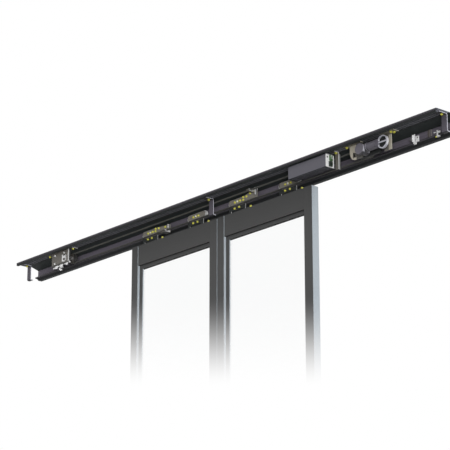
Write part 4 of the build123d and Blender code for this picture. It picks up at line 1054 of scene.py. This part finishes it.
def addCoil(s):
    ringLow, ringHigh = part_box("motor_cage")
    x = ringHigh.x - (ringHigh.z - ringLow.z) / 2
    y = ringLow.y + s["seat"]
    z = (ringHigh.z + ringLow.z) / 2
    spot = (x, y - s["finDepth"] / 2, z)
    growPiece("coilFins", [spot], makeCoilTree(s), {"Radius": s["radius"]}, "gearbox_black", "header")
    builder = bmesh.new()
    bmesh.ops.create_cone(
        builder, cap_ends=True, segments=s["segments"],
        radius1=s["radius"], radius2=s["radius"], depth=s["disc"],
    )
    bmesh.ops.rotate(builder, verts=builder.verts, matrix=Matrix.Rotation(math.pi / 2, 3, "X"))
    bmesh.ops.translate(builder, verts=builder.verts, vec=(x, y - s["disc"] / 2, z))
    pieceFrom(builder, "coilDisc", "control_grey", "header")


addCoil(coilSettings)
print("coil added")


# Glazing: a flat dark gasket on the glass round each pane, and a bead that stands on it.
# On the front each is wider at the stile on the left of the pane than at the one on its right.
glazingSettings = {
    "gasket": {
        "from": 6, "left": 35.5, "level": 26.5, "right": 10.5, "low": 0, "high": 1.5, "edge": 0.5,
        "slot": "seal_rubber",
    },
    "bead": {
        "from": 0.3, "left": 36, "level": 25.5, "right": 10, "low": 1, "high": 8.5, "edge": 0.8,
        "slot": "frame_grey",
    },
}


def glazingProfile(s, to):
    return [
        (s["from"], s["low"]),
        (s["from"], s["high"] - s["edge"]),
        (s["from"] + s["edge"], s["high"]),
        (to - s["edge"], s["high"]),
        (to, s["high"] - s["edge"]),
        (to, s["low"]),
    ]


def makeGlazing(side, word, s):
    paneLow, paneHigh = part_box(side + "_glass")
    stiles = [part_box(side + "_" + which + "_stile") for which in ("meeting", "outer")]
    x0 = min(box[1].x for box in stiles)
    x1 = max(box[0].x for box in stiles)
    z0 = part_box(side + "_bottom_rail")[1].z
    z1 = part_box(side + "_top_rail")[0].z
    builder = bmesh.new()
    for faceY, out, leftWidth in ((paneLow.y, -1, s["left"]), (paneHigh.y, 1, s["right"])):
        profiles = [glazingProfile(s, to) for to in (leftWidth, s["right"], s["level"])]
        rings = []
        for (left, proud), (right, _), (level, _) in zip(*profiles):
            y = faceY + out * proud * mm
            a0, a1, b0, b1 = x0 + left * mm, x1 - right * mm, z0 + level * mm, z1 - level * mm
            corners = ((a0, b0), (a1, b0), (a1, b1), (a0, b1))
            rings.append([builder.verts.new((x, y, z)) for x, z in corners])
        for place, ring in enumerate(rings):
            joinRings(builder, ring, rings[(place + 1) % len(rings)])
    bmesh.ops.recalc_face_normals(builder, faces=builder.faces)
    pieceFrom(builder, side + word, s["slot"], side + "_leaf")


for side in ("left", "right"):
    makeGlazing(side, "GlazingGaskets", glazingSettings["gasket"])
    makeGlazing(side, "GlazingBeads", glazingSettings["bead"])
print("glazing fitted")


# Trim along each stile: a long wedge that rises towards the glass and drops to it in one step
trimSettings = {"width": 56 * mm, "proud": 3.5 * mm, "sunk": 1 * mm}


def addStileTrim(side, s):
    builder = bmesh.new()
    for which in ("meeting", "outer"):
        lowest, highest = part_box(side + "_" + which + "_stile")
        glassIsRight = (side == "left") == (which == "outer")
        inner = highest.x if glassIsRight else lowest.x
        away = -s["width"] if glassIsRight else s["width"]
        back = lowest.y + s["sunk"]
        plan = [(inner, back), (inner, lowest.y - s["proud"]), (inner + away, back)]
        ends = (lowest.z + s["sunk"], highest.z - s["sunk"])
        closedPrism(builder, [[builder.verts.new((x, y, z)) for x, y in plan] for z in ends])
    bmesh.ops.recalc_face_normals(builder, faces=builder.faces)
    pieceFrom(builder, side + "StileTrim", "frame_grey", side + "_leaf")


for side in ("left", "right"):
    addStileTrim(side, trimSettings)
print("stile trim fitted")


# Small parts of the control unit: a plug on its end panel, bars on its connector, a bolt on its bracket
controlDetails = {
    "plug": {"y": -201, "z": 5, "radius": 4.5, "proud": 1.5, "rounding": 1.2},
    "bars": {"y": -175, "top": 17, "pitch": 8.5, "count": 3, "size": (1.2, 15, 2.4), "rounding": 0.3},
    "bolt": {"x": 1202, "z": -28, "radius": 4.5, "face": -138, "head": 3, "rounding": 1.4},
    "sunk": 0.5,
}


def addControlDetails(s):
    plug, bars, bolt, sunk = s["plug"], s["bars"], s["bolt"], s["sunk"]
    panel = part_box("control_end_panel")[1].x / mm
    r = plug["radius"]
    plugBox = (
        (panel - sunk, plug["y"] - r, plug["z"] - r),
        (panel + plug["proud"], plug["y"] + r, plug["z"] + r),
    )
    addBlocks("panelPlug", [plugBox], "gearbox_black", "header", plug["rounding"])

    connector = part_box("control_connectors")[1].x / mm
    depth, width, height = bars["size"]
    y0, y1 = bars["y"] - width / 2, bars["y"] + width / 2
    tops = [bars["top"] - step * bars["pitch"] for step in range(bars["count"])]
    barBoxes = [((connector - sunk, y0, top - height), (connector + depth, y1, top)) for top in tops]
    addBlocks("connectorBars", barBoxes, "panel_white", "header", bars["rounding"])

    r = bolt["radius"]
    boltBox = (
        (bolt["x"] - r, bolt["face"] - bolt["head"], bolt["z"] - r),
        (bolt["x"] + r, bolt["face"] + sunk, bolt["z"] + r),
    )
    addBlocks("bracketBolt", [boltBox], "yellow_zinc", "header", bolt["rounding"])


addControlDetails(controlDetails)
print("control details added")


# Idler unit: bright plates below its lower edge, which is painted in shade, and the bright edges of its slot
# (x0, x1, z0, z1)
idlerDetails = {
    "plates": [
        (-1692, -1664, -79, -71), (-1666, -1638, -84, -64),
        (-1636, -1606, -74, -67), (-1608, -1577, -82, -61),
        (-1618, -1604, -102, -86), (-1606, -1582, -109, -99), (-1604, -1570, -90, -86),
        (-1560, -1536, -72, -66), (-1538, -1516, -80, -60),
    ],
    "slotEdges": [(-1584, -1575, -46, 4), (-1548, -1535, -44, -4)],
    "plateReach": (1.6, 3.6),
    "edgeReach": (-1, 1.8),
}


def addIdlerDetails(s):
    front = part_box("idler_bracket")[0].y / mm
    for name, spots, reach in (
        ("idlerPlates", s["plates"], s["plateReach"]),
        ("idlerSlotEdges", s["slotEdges"], s["edgeReach"]),
    ):
        y0, y1 = front + reach[0], front + reach[1]
        boxes = [((x0, y0, z0), (x1, y1, z1)) for x0, x1, z0, z1 in spots]
        addBlocks(name, boxes, "bright_zinc", "header")


addIdlerDetails(idlerDetails)
print("idler details added")


# Right end: the terminal block and the track clamp stand on the hollow wall, further out than the solids
endFittings = {
    "terminal": {
        "middle": 1872, "width": 28, "depth": 8, "low": -33, "high": 22, "rounding": 1,
        "count": 6, "first": 12, "spare": 10, "sunk": 1,
        "way": {"from": 3, "to": 8, "proud": 0.4, "share": 0.6},
        "lever": {"from": -9, "to": -3, "proud": 0.6, "share": 0.75},
    },
    "clamp": {
        "plate": [
            ((1947, -62, -46), (1955, -58, -8)),
            ((1940, -60, -46), (1962, -46, -39.2)),
            ((1954, -62, -27), (1976, -60, -14)),
            ((1924, -62, -19), (1940, -60, -14)),
            ((1960, -62, -50), (1972, -60, -45)),
        ],
        "nut": ((1938, -64, -50), (1946, -58, -42)),
    },
    "stop": {
        "plates": [
            ((1776, -60, -34), (1804, -57, 2)),
            ((1757, -60, -40), (1771, -56, 18)),
            ((1766, -62, -47), (1782, -56, -34)),
            ((1770, -60, -14), (1778, -57, -6)),
        ],
        "dot": ((1789, -61, -12), (1796, -59.5, -5)),
    },
}


def addTerminal(s, wallFront):
    x0, x1 = s["middle"] - s["width"] / 2, s["middle"] + s["width"] / 2
    front = wallFront - s["depth"]
    block = ((x0, front, s["low"]), (x1, wallFront, s["high"]))
    body = addBlocks("terminalBody", [block], "terminal_brown", "header", s["rounding"])
    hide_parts("terminal_block")
    pitch = (s["high"] - s["low"] - s["spare"]) / s["count"]
    ways, levers = [], []
    for step in range(s["count"]):
        z = s["low"] + s["first"] + step * pitch
        for boxes, part, side in ((ways, s["way"], x0), (levers, s["lever"], x1)):
            low = (side + part["from"], front - part["proud"], z)
            high = (side + part["to"], front + s["sunk"], z + pitch * part["share"])
            boxes.append((low, high))
    addBlocks("terminalWays", ways, "gearbox_black", "header", 0.2)
    addBlocks("terminalLevers", levers, "control_grey", "header", 0.4)


def addClamp(s):
    body = addBlocks("clampPlate", s["plate"], "bright_zinc", "header", 0.6)
    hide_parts("track_clamp")
    addBlocks("clampNut", [s["nut"]], "yellow_zinc", "header", 1.5)


def addStopPlates(s):
    addBlocks("stopPlates", s["plates"], "bright_zinc", "header", 0.8)
    addBlocks("stopDot", [s["dot"]], "gearbox_black", "header", 0.5)


addTerminal(endFittings["terminal"], wallSettings["front"])
addClamp(endFittings["clamp"])
addStopPlates(endFittings["stop"])
print("right end fitted")
